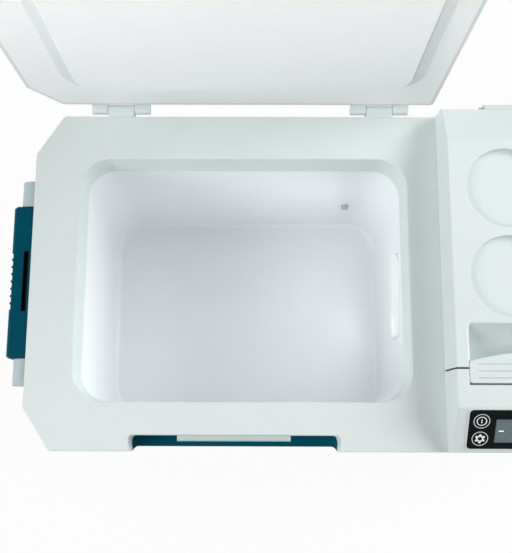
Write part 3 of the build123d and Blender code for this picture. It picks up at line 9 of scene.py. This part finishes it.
import bmesh
import bpy
import numpy as np
from mathutils import Matrix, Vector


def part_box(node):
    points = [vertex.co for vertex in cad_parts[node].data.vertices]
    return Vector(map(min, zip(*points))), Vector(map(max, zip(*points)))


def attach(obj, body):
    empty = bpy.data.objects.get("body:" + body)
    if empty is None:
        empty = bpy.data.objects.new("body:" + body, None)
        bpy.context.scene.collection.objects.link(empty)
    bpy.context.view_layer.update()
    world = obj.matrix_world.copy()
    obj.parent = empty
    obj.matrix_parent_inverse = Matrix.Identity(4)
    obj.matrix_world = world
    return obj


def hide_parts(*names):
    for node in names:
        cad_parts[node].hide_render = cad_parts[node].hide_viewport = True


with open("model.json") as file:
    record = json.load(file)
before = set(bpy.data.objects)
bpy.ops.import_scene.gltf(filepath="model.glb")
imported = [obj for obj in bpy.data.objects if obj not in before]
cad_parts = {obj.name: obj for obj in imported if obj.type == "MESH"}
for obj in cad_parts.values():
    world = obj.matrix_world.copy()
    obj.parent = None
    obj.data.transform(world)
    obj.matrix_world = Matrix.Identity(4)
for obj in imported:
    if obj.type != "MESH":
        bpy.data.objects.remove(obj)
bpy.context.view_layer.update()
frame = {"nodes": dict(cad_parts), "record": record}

MM = 0.001


def srgb(code, alpha=1.0):
    """Linear colour of an sRGB hex value."""
    c = np.array([int(code[i:i + 2], 16) for i in (1, 3, 5)]) / 255
    c = np.where(c <= 0.04045, c / 12.92, ((c + 0.055) / 1.055) ** 2.4)
    return (*c.tolist(), alpha)


def add(tree, kind, settings=None, **inputs):
    """One node: its settings are attributes, its inputs are values or (node, output) links."""
    n = tree.nodes.new(kind)
    for key, value in (settings or {}).items():
        setattr(n, key, value)
    for key, value in inputs.items():
        socket = n.inputs[int(key[1:])] if key[0] == "_" else n.inputs[key.replace("_", " ")]
        if isinstance(value, tuple) and isinstance(value[0], bpy.types.Node):
            tree.links.new(value[0].outputs[value[1]], socket)
        else:
            socket.default_value = value
    return n


# ---------------------------------------------------------------- camera
# Above the front half of the box, tilted back a little from straight down.
FRAME_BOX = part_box("top_frame")
CAMERA_AT = (-0.0803, FRAME_BOX[0][1] + 0.0111, 1.1254)
TILT, ROLL, PAN = np.radians([11.122, 0.132, 0.180])
camera_data = bpy.data.cameras.new("overhead_camera")
camera_data.lens = 54.03
camera_data.sensor_width = 36
camera_data.clip_start = 0.05
camera = bpy.data.objects.new("overhead_camera", camera_data)
turn = Matrix.Rotation(PAN, 4, "Z") @ Matrix.Rotation(TILT, 4, "X") @ Matrix.Rotation(ROLL, 4, "Y")
camera.matrix_world = Matrix.Translation(CAMERA_AT) @ turn
bpy.context.scene.collection.objects.link(camera)
bpy.context.scene.camera = camera


# ---------------------------------------------------------------- finishes
def finish(name, colour, roughness, ior=1.5, metallic=0.0, grain=1.2, depth=0.01, mottle=0.02,
           edge=0.0, round_mm=0.7, sheen=0.5, streak=None):
    """A moulded, drawn or painted surface.

    colour    hex value of the material itself
    grain     size of the surface texture in mm, depth its height in mm
    mottle    share by which colour and roughness drift over the surface
    edge      share by which edges are painted paler: a painted highlight that also stands for wear from handling
    round_mm  radius to which sharp edges look broken
    sheen     strength of the surface reflection, 0.5 for a plain plastic
    streak    stretch (x, y, z) of the grain, for drawn or brushed metal
    """
    m = bpy.data.materials.new(name)
    m.use_nodes = True
    tree = m.node_tree
    tree.nodes.clear()
    base = srgb(colour)
    where = add(tree, "ShaderNodeTexCoord")
    place = (where, "Object")
    if streak:
        place = (add(tree, "ShaderNodeMapping", Vector=place, Scale=streak), "Vector")
    fine = add(tree, "ShaderNodeTexNoise", Vector=place, Scale=1 / (grain * MM), Detail=3.0, Roughness=0.55)
    broad = add(tree, "ShaderNodeTexNoise", Vector=(where, "Object"), Scale=1 / (70 * MM), Detail=2.0)
    drift = add(tree, "ShaderNodeMapRange", Value=(broad, "Fac"), From_Min=0.3, From_Max=0.7,
                To_Min=1 - mottle, To_Max=1 + mottle)
    tone = add(tree, "ShaderNodeVectorMath", {"operation": "SCALE"}, _0=base[:3], Scale=(drift, "Result"))
    soft = add(tree, "ShaderNodeBevel", {"samples": 4}, Radius=round_mm * MM)
    colour_out = (tone, "Vector")
    # Edges are mixed towards a pale grey: a painted highlight, partly standing for handling wear.
    if edge:
        geo = add(tree, "ShaderNodeNewGeometry")
        same = add(tree, "ShaderNodeVectorMath", {"operation": "DOT_PRODUCT"}, _0=(soft, "Normal"), _1=(geo, "Normal"))
        painted_edge_highlight = add(tree, "ShaderNodeMapRange", Value=(same, "Value"), From_Min=0.99, From_Max=0.75, To_Min=0.0, To_Max=edge)
        colour_out = (add(tree, "ShaderNodeMix", {"data_type": "RGBA"}, _0=(painted_edge_highlight, "Result"), _6=colour_out,
                          _7=(0.8, 0.84, 0.84, 1.0)), 2)
    gloss = add(tree, "ShaderNodeMapRange", Value=(fine, "Fac"), From_Min=0.3, From_Max=0.7,
                To_Min=roughness * (1 - 3 * mottle), To_Max=roughness * (1 + 3 * mottle))
    bump = add(tree, "ShaderNodeBump", Strength=1.0, Distance=depth * MM, Height=(fine, "Fac"), Normal=(soft, "Normal"))
    shader = add(tree, "ShaderNodeBsdfPrincipled", Base_Color=colour_out, Metallic=metallic,
                 Roughness=(gloss, "Result"), Normal=(bump, "Normal"))
    if not metallic:
        shader.inputs["IOR"].default_value = ior
    shader.inputs["Specular IOR Level"].default_value = sheen
    add(tree, "ShaderNodeOutputMaterial", Surface=(shader, "BSDF"))
    return m


def glow(name, colour, strength, under="#101416"):
    """A lit or printed surface: a smooth base that also gives off its own light."""
    m = bpy.data.materials.new(name)
    m.use_nodes = True
    shader = m.node_tree.nodes["Principled BSDF"]
    shader.inputs["Base Color"].default_value = srgb(under)
    shader.inputs["Roughness"].default_value = 0.35
    shader.inputs["Emission Color"].default_value = srgb(colour)
    shader.inputs["Emission Strength"].default_value = strength
    return m


FINISHES = {
    # Spark-eroded ABS: an even matt grain that breaks up the light, with its edges painted paler as a highlight that
    # also stands for wear from hands.
    "teal_plastic": finish("grained_teal_abs", "#005063", 0.6, grain=1.0, depth=0.02, mottle=0.03, edge=0.02, sheen=0.04),
    # The same ABS in pale grey with a finer satin grain.
    "pale_plastic": finish("satin_pale_abs", "#DCE5E4", 0.42, grain=1.1, depth=0.012, mottle=0.012),
    "grey_plastic": finish("satin_grey_abs", "#B9C8CA", 0.42, grain=1.1, depth=0.012, mottle=0.015),
    # Vacuum-formed polystyrene: smooth, with the slow ripple that forming leaves.
    "liner_plastic": finish("formed_white_polystyrene", "#F5F8FA", 0.3, grain=28, depth=0.05, mottle=0.01),
    "lid_white": finish("formed_white_lid_panel", "#F7F9F9", 0.35, grain=28, depth=0.05, mottle=0.01),
    # Rigid polyurethane: open, slightly yellow cells.
    "foam": finish("poured_polyurethane_foam", "#D9CFA8", 0.9, grain=1.5, depth=0.5, mottle=0.06),
    # Galvanised sheet: large faint crystals.
    "sheet_steel": finish("galvanised_sheet", "#9CA3A6", 0.42, metallic=1.0, grain=9, depth=0.01, mottle=0.07),
    "black_paint": finish("baked_black_enamel", "#16181A", 0.3, grain=1.6, depth=0.02, mottle=0.03),
    "aluminium": finish("mill_aluminium", "#C9CDCF", 0.35, metallic=1.0, grain=1.0, depth=0.01, mottle=0.04,
                        streak=(1.0, 0.1, 1.0)),
    "copper": finish("drawn_copper_tube", "#B4714A", 0.3, metallic=1.0, grain=1.5, depth=0.01, mottle=0.08),
    "steel": finish("ground_stainless_pin", "#B4B8BA", 0.3, metallic=1.0, grain=0.8, depth=0.01, mottle=0.04,
                    streak=(0.08, 1.0, 1.0)),
    # Moulded EPDM: dull, with a dusty bloom.
    "rubber": finish("moulded_black_rubber", "#16191A", 0.75, grain=0.9, depth=0.03, mottle=0.05, sheen=0.2),
    "grey_rubber": finish("soft_white_gasket", "#E4EAEA", 0.6, grain=1.2, depth=0.02, mottle=0.03),
    "black_plastic": finish("moulded_black_nylon", "#0A0E10", 0.5, grain=1.0, depth=0.02, mottle=0.04, sheen=0.1),
    "dark_plastic": finish("moulded_charcoal_abs", "#2A3134", 0.5, grain=1.0, depth=0.02, mottle=0.04),
    # Cast acrylic over black ink: deep and even, with a hard reflection.
    "fascia_black": finish("black_backed_acrylic", "#0A0E0E", 0.3, grain=22, depth=0.01, mottle=0.02, round_mm=0.3,
                           sheen=0.08),
    "window": finish("smoked_display_window", "#6C7B81", 0.3, grain=22, depth=0.01, mottle=0.02, round_mm=0.2, sheen=0.08),
    "board": finish("green_solder_mask", "#1F4A35", 0.4, grain=3, depth=0.02, mottle=0.08),
    # Opal acrylic: a milky skin that spreads the lamp's light.
    "lens": finish("opal_acrylic_lens", "#F6F8F6", 0.3, grain=12, depth=0.01, mottle=0.01),
}

slots = {s["node"]: s["material_slot"] for s in frame["record"]["subparts"]}
for node_name, piece in frame["nodes"].items():
    for holder in piece.material_slots:
        holder.material = FINISHES[slots[node_name]]


# ---------------------------------------------------------------- thin white marks: printed symbols, and a white ring round each cap's rim
# Heights, widths and the slope are those of the control face.
SLOPE = np.arctan2(26.0, 40.2)
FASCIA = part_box("display_fascia")
FACE_MID = (FASCIA[0][0] + FASCIA[1][0]) / 2
FOOT_Y = FRAME_BOX[0][1]
FOOT_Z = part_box("latch_keeper")[1][2] + 9 * MM


def on_slope(across, up, height):
    """Points on the control face: across from its middle, up the slope, and height above it, in mm."""
    x = FACE_MID + across * MM
    y = FOOT_Y + (up * np.cos(SLOPE) - height * np.sin(SLOPE)) * MM
    z = FOOT_Z + (up * np.sin(SLOPE) + height * np.cos(SLOPE)) * MM
    return np.stack(np.broadcast_arrays(x, y, z), axis=-1)


def grid_faces(rows, columns, start=0):
    """Quads of a rows by columns grid of points, numbered from start."""
    i = np.arange(rows - 1)[:, None] * columns + np.arange(columns - 1)[None, :] + start
    return np.stack([i, i + 1, i + columns + 1, i + columns], axis=-1).reshape(-1, 4)


def piece_of(name, patches, material, body):
    """One mesh from grids of points, each shaped (rows, columns, 3), riding on a body."""
    points, faces, start = [], [], 0
    for patch in patches:
        rows, columns = patch.shape[:2]
        points.append(patch.reshape(-1, 3))
        faces.append(grid_faces(rows, columns, start))
        start += rows * columns
    mesh = bpy.data.meshes.new(name)
    mesh.from_pydata(np.concatenate(points).tolist(), [], np.concatenate(faces).tolist())
    mesh.polygons.foreach_set("use_smooth", np.ones(len(mesh.polygons), dtype=bool))
    mesh.update()
    mesh.materials.append(material)
    obj = bpy.data.objects.new(name, mesh)
    bpy.context.scene.collection.objects.link(obj)
    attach(obj, body)
    return obj


def arc_band(across, up, inner, outer, height, start=0.0, end=360.0, steps=49):
    """A flat ring or arc: radius runs from outer to inner while the angle runs round."""
    angle = np.radians(np.linspace(start, end, steps))[None, :]
    r = np.array([outer, inner])[:, None]
    return on_slope(across + r * np.cos(angle), up + r * np.sin(angle), height)


def bar(across, up, width, length, height, lean=0.0):
    """A flat bar round its centre, turned by lean degrees."""
    t = np.radians(lean)
    u = np.array([-width / 2, width / 2])[None, :]
    v = np.array([length / 2, -length / 2])[:, None]
    return on_slope(across + u * np.cos(t) - v * np.sin(t), up + u * np.sin(t) + v * np.cos(t), height)[::-1]


def gear(across, up, teeth, root, tip, hole, height):
    """A toothed ring with a tooth at the top: its radius follows a squared-off cosine."""
    angle = np.linspace(0, 2 * np.pi, 24 * teeth + 1)[None, :]
    wave = np.clip(1.8 * np.cos(teeth * (angle - np.pi / 2)), -1, 1) * 0.5 + 0.5
    outer = root + (tip - root) * wave
    r = np.concatenate([outer, np.full_like(outer, hole)])
    return on_slope(across + r * np.cos(angle), up + r * np.sin(angle), height)


PRINT = finish("white_screen_print", "#E8EEEE", 0.5, grain=2, depth=0.0, mottle=0.01, round_mm=0.1)
CAP = 1.12
KEY_OFF = 77.6
KEY_ROWS = (15.8, 34.15)

for body, side, row in (("power_key", -1, 1), ("settings_key", -1, 0), ("warmer_key", 1, 1), ("cooler_key", 1, 0)):
    u, s = side * KEY_OFF, KEY_ROWS[row]
    # Each cap gets a thin white ring along its rim.
    mark = [arc_band(u, s, 6.8, 7.45, CAP)]
    if body == "power_key":
        mark += [arc_band(u, s, 3.8, 4.75, CAP), bar(u, s, 0.95, 4.0, CAP)]
    elif body == "settings_key":
        mark += [gear(u, s, 6, 3.5, 4.85, 1.9, CAP)]
    else:
        tip = 1 if body == "warmer_key" else -1
        mark += [bar(u - 1.25, s, 0.8, 4.2, CAP, -45 * tip), bar(u + 1.25, s, 0.8, 4.2, CAP, 45 * tip)]
    piece_of(body + "_mark", mark, PRINT, body)

# ---------------------------------------------------------------- display
DIM = finish("unlit_segments", "#83847F", 0.4, grain=5, depth=0.0, mottle=0.01, round_mm=0.1, sheen=0.1)
LIT = glow("lit_segments", "#D2E2FF", 1.5)
GLASS_HEIGHT = 0.56
DIGIT = (6.1, 11.6, 1.1)
LIT_SEGMENTS = {"-": "g", "1": "bc", "8": "abcdefg"}


def segments(across, up, names):
    """Bars of a seven-segment digit, lettered clockwise from the top with g in the middle."""
    w, h, t = DIGIT
    place = {"a": (0, h / 2, w, t), "d": (0, -h / 2, w, t), "g": (0, 0, w, t),
             "b": (w / 2, h / 4, t, h / 2), "c": (w / 2, -h / 4, t, h / 2),
             "e": (-w / 2, -h / 4, t, h / 2), "f": (-w / 2, h / 4, t, h / 2)}
    return [bar(across + x, up + y, a - 1.6 if a > b else a, b - 1.2 if b > a else b, GLASS_HEIGHT)
            for x, y, a, b in (place[n] for n in names)]


display_mid = 23.5
lit, unlit = [], []
for across, digit in ((-58.9, "-"), (-49.9, "1"), (-40.9, "8")):
    lit += segments(across, display_mid, LIT_SEGMENTS[digit])
    unlit += segments(across, display_mid, [n for n in "abcdefg" if n not in LIT_SEGMENTS[digit]])
piece_of("display_lit_segments", lit, LIT, "cabinet")
piece_of("display_unlit_segments", unlit, DIM, "cabinet")


# ---------------------------------------------------------------- the battery cover's finger scoop
# The moulded cover with its scoop cut deeper: steep ends with a rounded brim, and a floor that
# rises in a hollow curve to the back. Lengths in mm, from the cover's middle, the box's front
# edge and the cover's top.
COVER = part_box("battery_cover")
COVER_MID, COVER_TOP = (COVER[0][0] + COVER[1][0]) / 2, COVER[1][2]
SCOOP_FRONT, SCOOP_BACK = 80.9, 116.8
SCOOP_HALF, SCOOP_DEPTH, BRIM, CORNER = 89.4, 26.0, 2.4, 6.0
WALL = 3.2
POCKET_HALF, POCKET_BACK, POCKET_DEPTH = 88.45, 82.3, 13.0
HOOK_HALF, HOOK_BACK, HOOK_HIGH, HOOK_LOW = 44.0, 84.1, 12.0, 31.0


def block_between(name, across, back, low, high):
    """A closed block over a grid in plan, from height low up to height high at each point."""
    x, y = np.broadcast_arrays(across, np.reshape(back, (-1, 1)))
    rows, columns = x.shape
    count = rows * columns
    layers = [np.stack([COVER_MID + x * MM, FOOT_Y + y * MM, COVER_TOP + np.broadcast_to(h, x.shape) * MM], axis=-1)
              for h in (low, high)]
    n = np.arange(count).reshape(rows, columns)
    ring = np.concatenate([n[0, :-1], n[:-1, -1], n[-1, :0:-1], n[:0:-1, 0]])
    after = np.roll(ring, -1)
    sides = np.stack([ring, after, after + count, ring + count], axis=-1)
    faces = np.concatenate([grid_faces(rows, columns)[:, ::-1], grid_faces(rows, columns, count), sides])
    mesh = bpy.data.meshes.new(name)
    mesh.from_pydata(np.concatenate(layers).reshape(-1, 3).tolist(), [], faces.tolist())
    obj = bpy.data.objects.new(name, mesh)
    bpy.context.scene.collection.objects.link(obj)
    return obj


def hollow(back):
    """Depth of the scoop's floor: full under the tab and flat there, and nothing at its back edge."""
    t = np.clip((back - SCOOP_FRONT) / (SCOOP_BACK - SCOOP_FRONT), 0, 1)
    return SCOOP_DEPTH * (1 - t ** 1.9)


def scooped_cover():
    """The cover with the old scoop filled by a wall under the new one, then the new one cut."""
    mesh = COVER_NODE.data.copy()
    shell = bmesh.new()
    shell.from_mesh(mesh)
    bmesh.ops.remove_doubles(shell, verts=shell.verts, dist=1e-6)
    shell.to_mesh(mesh)
    shell.free()
    whole = bpy.data.objects.new("whole_cover", mesh)
    bpy.context.scene.collection.objects.link(whole)

    ends = np.array([-1, 1]) * (SCOOP_HALF + WALL)
    rows = np.concatenate([[SCOOP_FRONT - WALL, SCOOP_FRONT - 0.05], np.linspace(SCOOP_FRONT, SCOOP_BACK, 25),
                           [SCOOP_BACK + WALL]])
    high = np.where(rows < SCOOP_FRONT, -POCKET_DEPTH - 2, -0.5)[:, None]
    filler = block_between("scoop_wall", ends, rows, (-WALL - hollow(rows))[:, None], high)

    inward = np.concatenate([[-1, 0], BRIM * np.sin(np.radians(np.arange(10, 91, 10))), [BRIM + 0.05],
                             [6, 12, 24, 48], [SCOOP_HALF]])
    brim = BRIM - np.sqrt(np.clip(BRIM ** 2 - np.clip(inward, 0, BRIM) ** 2, 0, None))
    brim = np.where(inward > BRIM, 8 * SCOOP_DEPTH, brim)
    brim = np.concatenate([brim, brim[:-1][::-1]])[None, :]
    rows = SCOOP_BACK - (SCOOP_BACK - SCOOP_FRONT) * np.linspace(1, 0, 41) ** 2
    rows = np.append(rows, SCOOP_BACK + 1)
    corner = np.clip(rows - (SCOOP_BACK - CORNER), 0, CORNER)[:, None]
    narrowing = CORNER - np.sqrt(CORNER ** 2 - corner ** 2)
    share = np.clip(1 - inward / 12, 0, 1)
    left = inward - SCOOP_HALF + narrowing * share
    across = np.concatenate([left, -left[:, :-1][:, ::-1]], axis=1)
    floor = hollow(rows)[:, None]
    depth = floor * brim / (np.hypot(floor, brim) + 1e-9)
    depth[:, [0, -1]] = -0.3
    depth[-1, :] = -0.3
    scoop = block_between("scoop_room", across, rows, -depth, 3.0)

    pocket = block_between("tab_room", np.array([-1, 1]) * POCKET_HALF, [SCOOP_FRONT - WALL, POCKET_BACK],
                           -POCKET_DEPTH, 3.0)
    hook = block_between("hook_room", np.array([-1, 1]) * HOOK_HALF, [SCOOP_FRONT - 2 * WALL, HOOK_BACK],
                         -HOOK_LOW, -HOOK_HIGH)
    for solid, other, kind in ((filler, pocket, "DIFFERENCE"), (filler, hook, "DIFFERENCE"),
                               (whole, filler, "UNION"), (whole, scoop, "DIFFERENCE")):
        step = solid.modifiers.new(other.name, "BOOLEAN")
        step.operation, step.solver, step.object = kind, "EXACT", other
    done = bpy.data.meshes.new_from_object(whole.evaluated_get(bpy.context.evaluated_depsgraph_get()))
    for spent in (whole, filler, scoop, pocket, hook):
        bpy.data.objects.remove(spent)
    done.name = "scooped_battery_cover"
    centre, normal = np.empty((2, len(done.polygons) * 3))
    done.polygons.foreach_get("center", centre)
    done.polygons.foreach_get("normal", normal)
    x, y, z = (centre.reshape(-1, 3) - (COVER_MID, FOOT_Y, COVER_TOP)).T / MM
    curved = ((np.abs(x) < SCOOP_HALF) & (y > SCOOP_FRONT) & (y < SCOOP_BACK) & (z < -0.001)
              & (z > -SCOOP_DEPTH - 0.01) & (normal[2::3] > 0.001))
    done.set_sharp_from_angle(angle=np.radians(30))
    done.polygons.foreach_set("use_smooth", curved)
    done.materials.clear()
    done.materials.append(FINISHES["pale_plastic"])
    obj = bpy.data.objects.new("scooped_battery_cover", done)
    bpy.context.scene.collection.objects.link(obj)
    return obj


COVER_NODE = frame["nodes"]["battery_cover"]
cover = scooped_cover()
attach(cover, "cover")
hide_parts("battery_cover")

# ---------------------------------------------------------------- painted shade: a dark strip down in the seam
SHADE_STRIP_MIDDLE, SHADE_STRIP_WIDE, SHADE_STRIP_DEEP, SHADE_STRIP_BELOW = 75.4, 1.2, 3.0, 0.7
FOOT_HALF, TOP_HALF, FOOT_DROP = 102.75, 100.55, 33.0


def seam_shade_strip(side):
    """A square dark cord down in the seam, put there as painted shade: up the section's side, round its top edge and on
    to the tab's pocket.
    """
    path = np.array([[FOOT_HALF - SHADE_STRIP_BELOW, -FOOT_DROP], [TOP_HALF - SHADE_STRIP_BELOW, -SHADE_STRIP_BELOW], [POCKET_HALF, -SHADE_STRIP_BELOW]])
    inward = np.array([[-1, 0], [-1, -1], [0, -1]])
    deep = np.array([0, 0, SHADE_STRIP_DEEP, SHADE_STRIP_DEEP, 0])
    wide = np.array([-1, 1, 1, -1, -1]) * SHADE_STRIP_WIDE / 2 * side
    flat = path[:, None] + inward[:, None] * deep[None, :, None]
    flat = np.concatenate([flat[:1].mean(axis=1, keepdims=True).repeat(5, axis=1), flat,
                           flat[-1:].mean(axis=1, keepdims=True).repeat(5, axis=1)])
    wide = np.where(np.arange(5)[:, None] % 4 == 0, 0, wide[None, :])
    return np.stack([COVER_MID + side * flat[..., 0] * MM, FOOT_Y + (SHADE_STRIP_MIDDLE + wide) * MM,
                     COVER_TOP + flat[..., 1] * MM], axis=-1)


# Black rubber stands in for the shade deep in the seam between the cover and the console: painted shade.
seam_shade = piece_of("seam_shade_strip", [seam_shade_strip(-1), seam_shade_strip(1)], FINISHES["rubber"], "cabinet")
seam_shade.data.polygons.foreach_set("use_smooth", np.zeros(len(seam_shade.data.polygons), dtype=bool))


# ---------------------------------------------------------------- floor, lamps and world
def floor_material():
    """White paint that shows as white to the eye and still takes a soft shadow."""
    m = bpy.data.materials.new("white_studio_floor")
    m.use_nodes = True
    tree = m.node_tree
    tree.nodes.clear()
    seen = add(tree, "ShaderNodeLightPath")
    direct = add(tree, "ShaderNodeMath", {"operation": "ADD", "use_clamp": True},
                 _0=(seen, "Is Camera Ray"), _1=(seen, "Is Glossy Ray"))
    share = add(tree, "ShaderNodeMath", {"operation": "MULTIPLY"}, _0=(direct, "Value"), _1=0.93)
    paint = add(tree, "ShaderNodeBsdfDiffuse", Color=srgb("#F4F6F6"))
    white = add(tree, "ShaderNodeEmission", Color=(1, 1, 1, 1), Strength=1.0)
    both = add(tree, "ShaderNodeMixShader", Fac=(share, "Value"), _1=(paint, "BSDF"), _2=(white, "Emission"))
    add(tree, "ShaderNodeOutputMaterial", Surface=(both, "Shader"))
    return m


span = 6.0
floor_mesh = bpy.data.meshes.new("floor")
corners = np.array([[-1, -1, 0], [1, -1, 0], [1, 1, 0], [-1, 1, 0]], dtype=float) * span
corners[:, 2] = -0.5 * MM
floor_mesh.from_pydata(corners.tolist(), [], [(0, 1, 2, 3)])
floor_mesh.materials.append(floor_material())
floor = bpy.data.objects.new("floor", floor_mesh)
bpy.context.scene.collection.objects.link(floor)

world = bpy.data.worlds.new("white_room")
bpy.context.scene.world = world
world.use_nodes = True
sky = world.node_tree
sky.nodes.clear()
path = add(sky, "ShaderNodeLightPath")
seen = add(sky, "ShaderNodeMath", {"operation": "ADD"}, _0=(path, "Is Camera Ray"), _1=(path, "Is Glossy Ray"))
clear = add(sky, "ShaderNodeMath", {"operation": "ADD", "use_clamp": True},
            _0=(seen, "Value"), _1=(path, "Is Transmission Ray"))
room = add(sky, "ShaderNodeBackground", Color=(1.0, 1.0, 1.0, 1.0), Strength=0.23)
bright = add(sky, "ShaderNodeBackground", Color=(1, 1, 1, 1), Strength=1.0)
chosen = add(sky, "ShaderNodeMixShader", Fac=(clear, "Value"), _1=(room, "Background"), _2=(bright, "Background"))
add(sky, "ShaderNodeOutputWorld", Surface=(chosen, "Shader"))


def soft_box(name, at, aim, size, power, spread=180.0):
    """A white lamp, size wide and high, at one point and facing another, that shines over spread degrees."""
    data = bpy.data.lights.new(name, "AREA")
    data.shape = "RECTANGLE"
    data.size, data.size_y = size
    data.energy = power
    data.spread = np.radians(spread)
    lamp = bpy.data.objects.new(name, data)
    east, north, up = np.array(aim) - np.array(at)
    yaw = np.arctan2(east, -north)
    pitch = np.arctan2(np.hypot(east, north), -up)
    lamp.matrix_world = Matrix.Translation(at) @ Matrix.Rotation(yaw, 4, "Z") @ Matrix.Rotation(-pitch, 4, "X")
    lamp.visible_camera = False
    bpy.context.scene.collection.objects.link(lamp)


def around(azimuth, elevation, distance=2.2):
    """A place round the object's middle: azimuth from +X towards +Y, in degrees."""
    az, el = np.radians([azimuth, elevation])
    return (distance * np.cos(el) * np.cos(az), distance * np.cos(el) * np.sin(az), 0.3 + distance * np.sin(el))


MIDDLE = (0.0, 0.0, 0.3)
soft_box("right_soft_box", around(14, 33), MIDDLE, (1.9, 1.2), 46.0)
soft_box("left_soft_box", around(203, 33), MIDDLE, (1.2, 1.2), 28.0)
# A narrow beam from the front that passes over the box to the open lid.
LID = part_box("lid_inner")
lid_x, lid_z = (LID[0][0] + LID[1][0]) / 2, (LID[0][2] + LID[1][2]) / 2
soft_box("lid_strip_light", (lid_x, -1.6, lid_z + 0.06), (lid_x, 0.0, lid_z + 0.06), (0.6, 0.26), 0.12, spread=11.0)
# The compartment's own lamp, just inside its lens.
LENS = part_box("interior_light_lens")
lens_y, lens_z = (LENS[0][1] + LENS[1][1]) / 2, (LENS[0][2] + LENS[1][2]) / 2
soft_box("compartment_lamp", (LENS[0][0] - 6 * MM, lens_y, lens_z), (LENS[0][0] - 0.3, lens_y - 0.09, lens_z - 0.04),
         (0.07, 0.04), 0.135)

view = bpy.context.scene.view_settings
view.view_transform = "Standard"
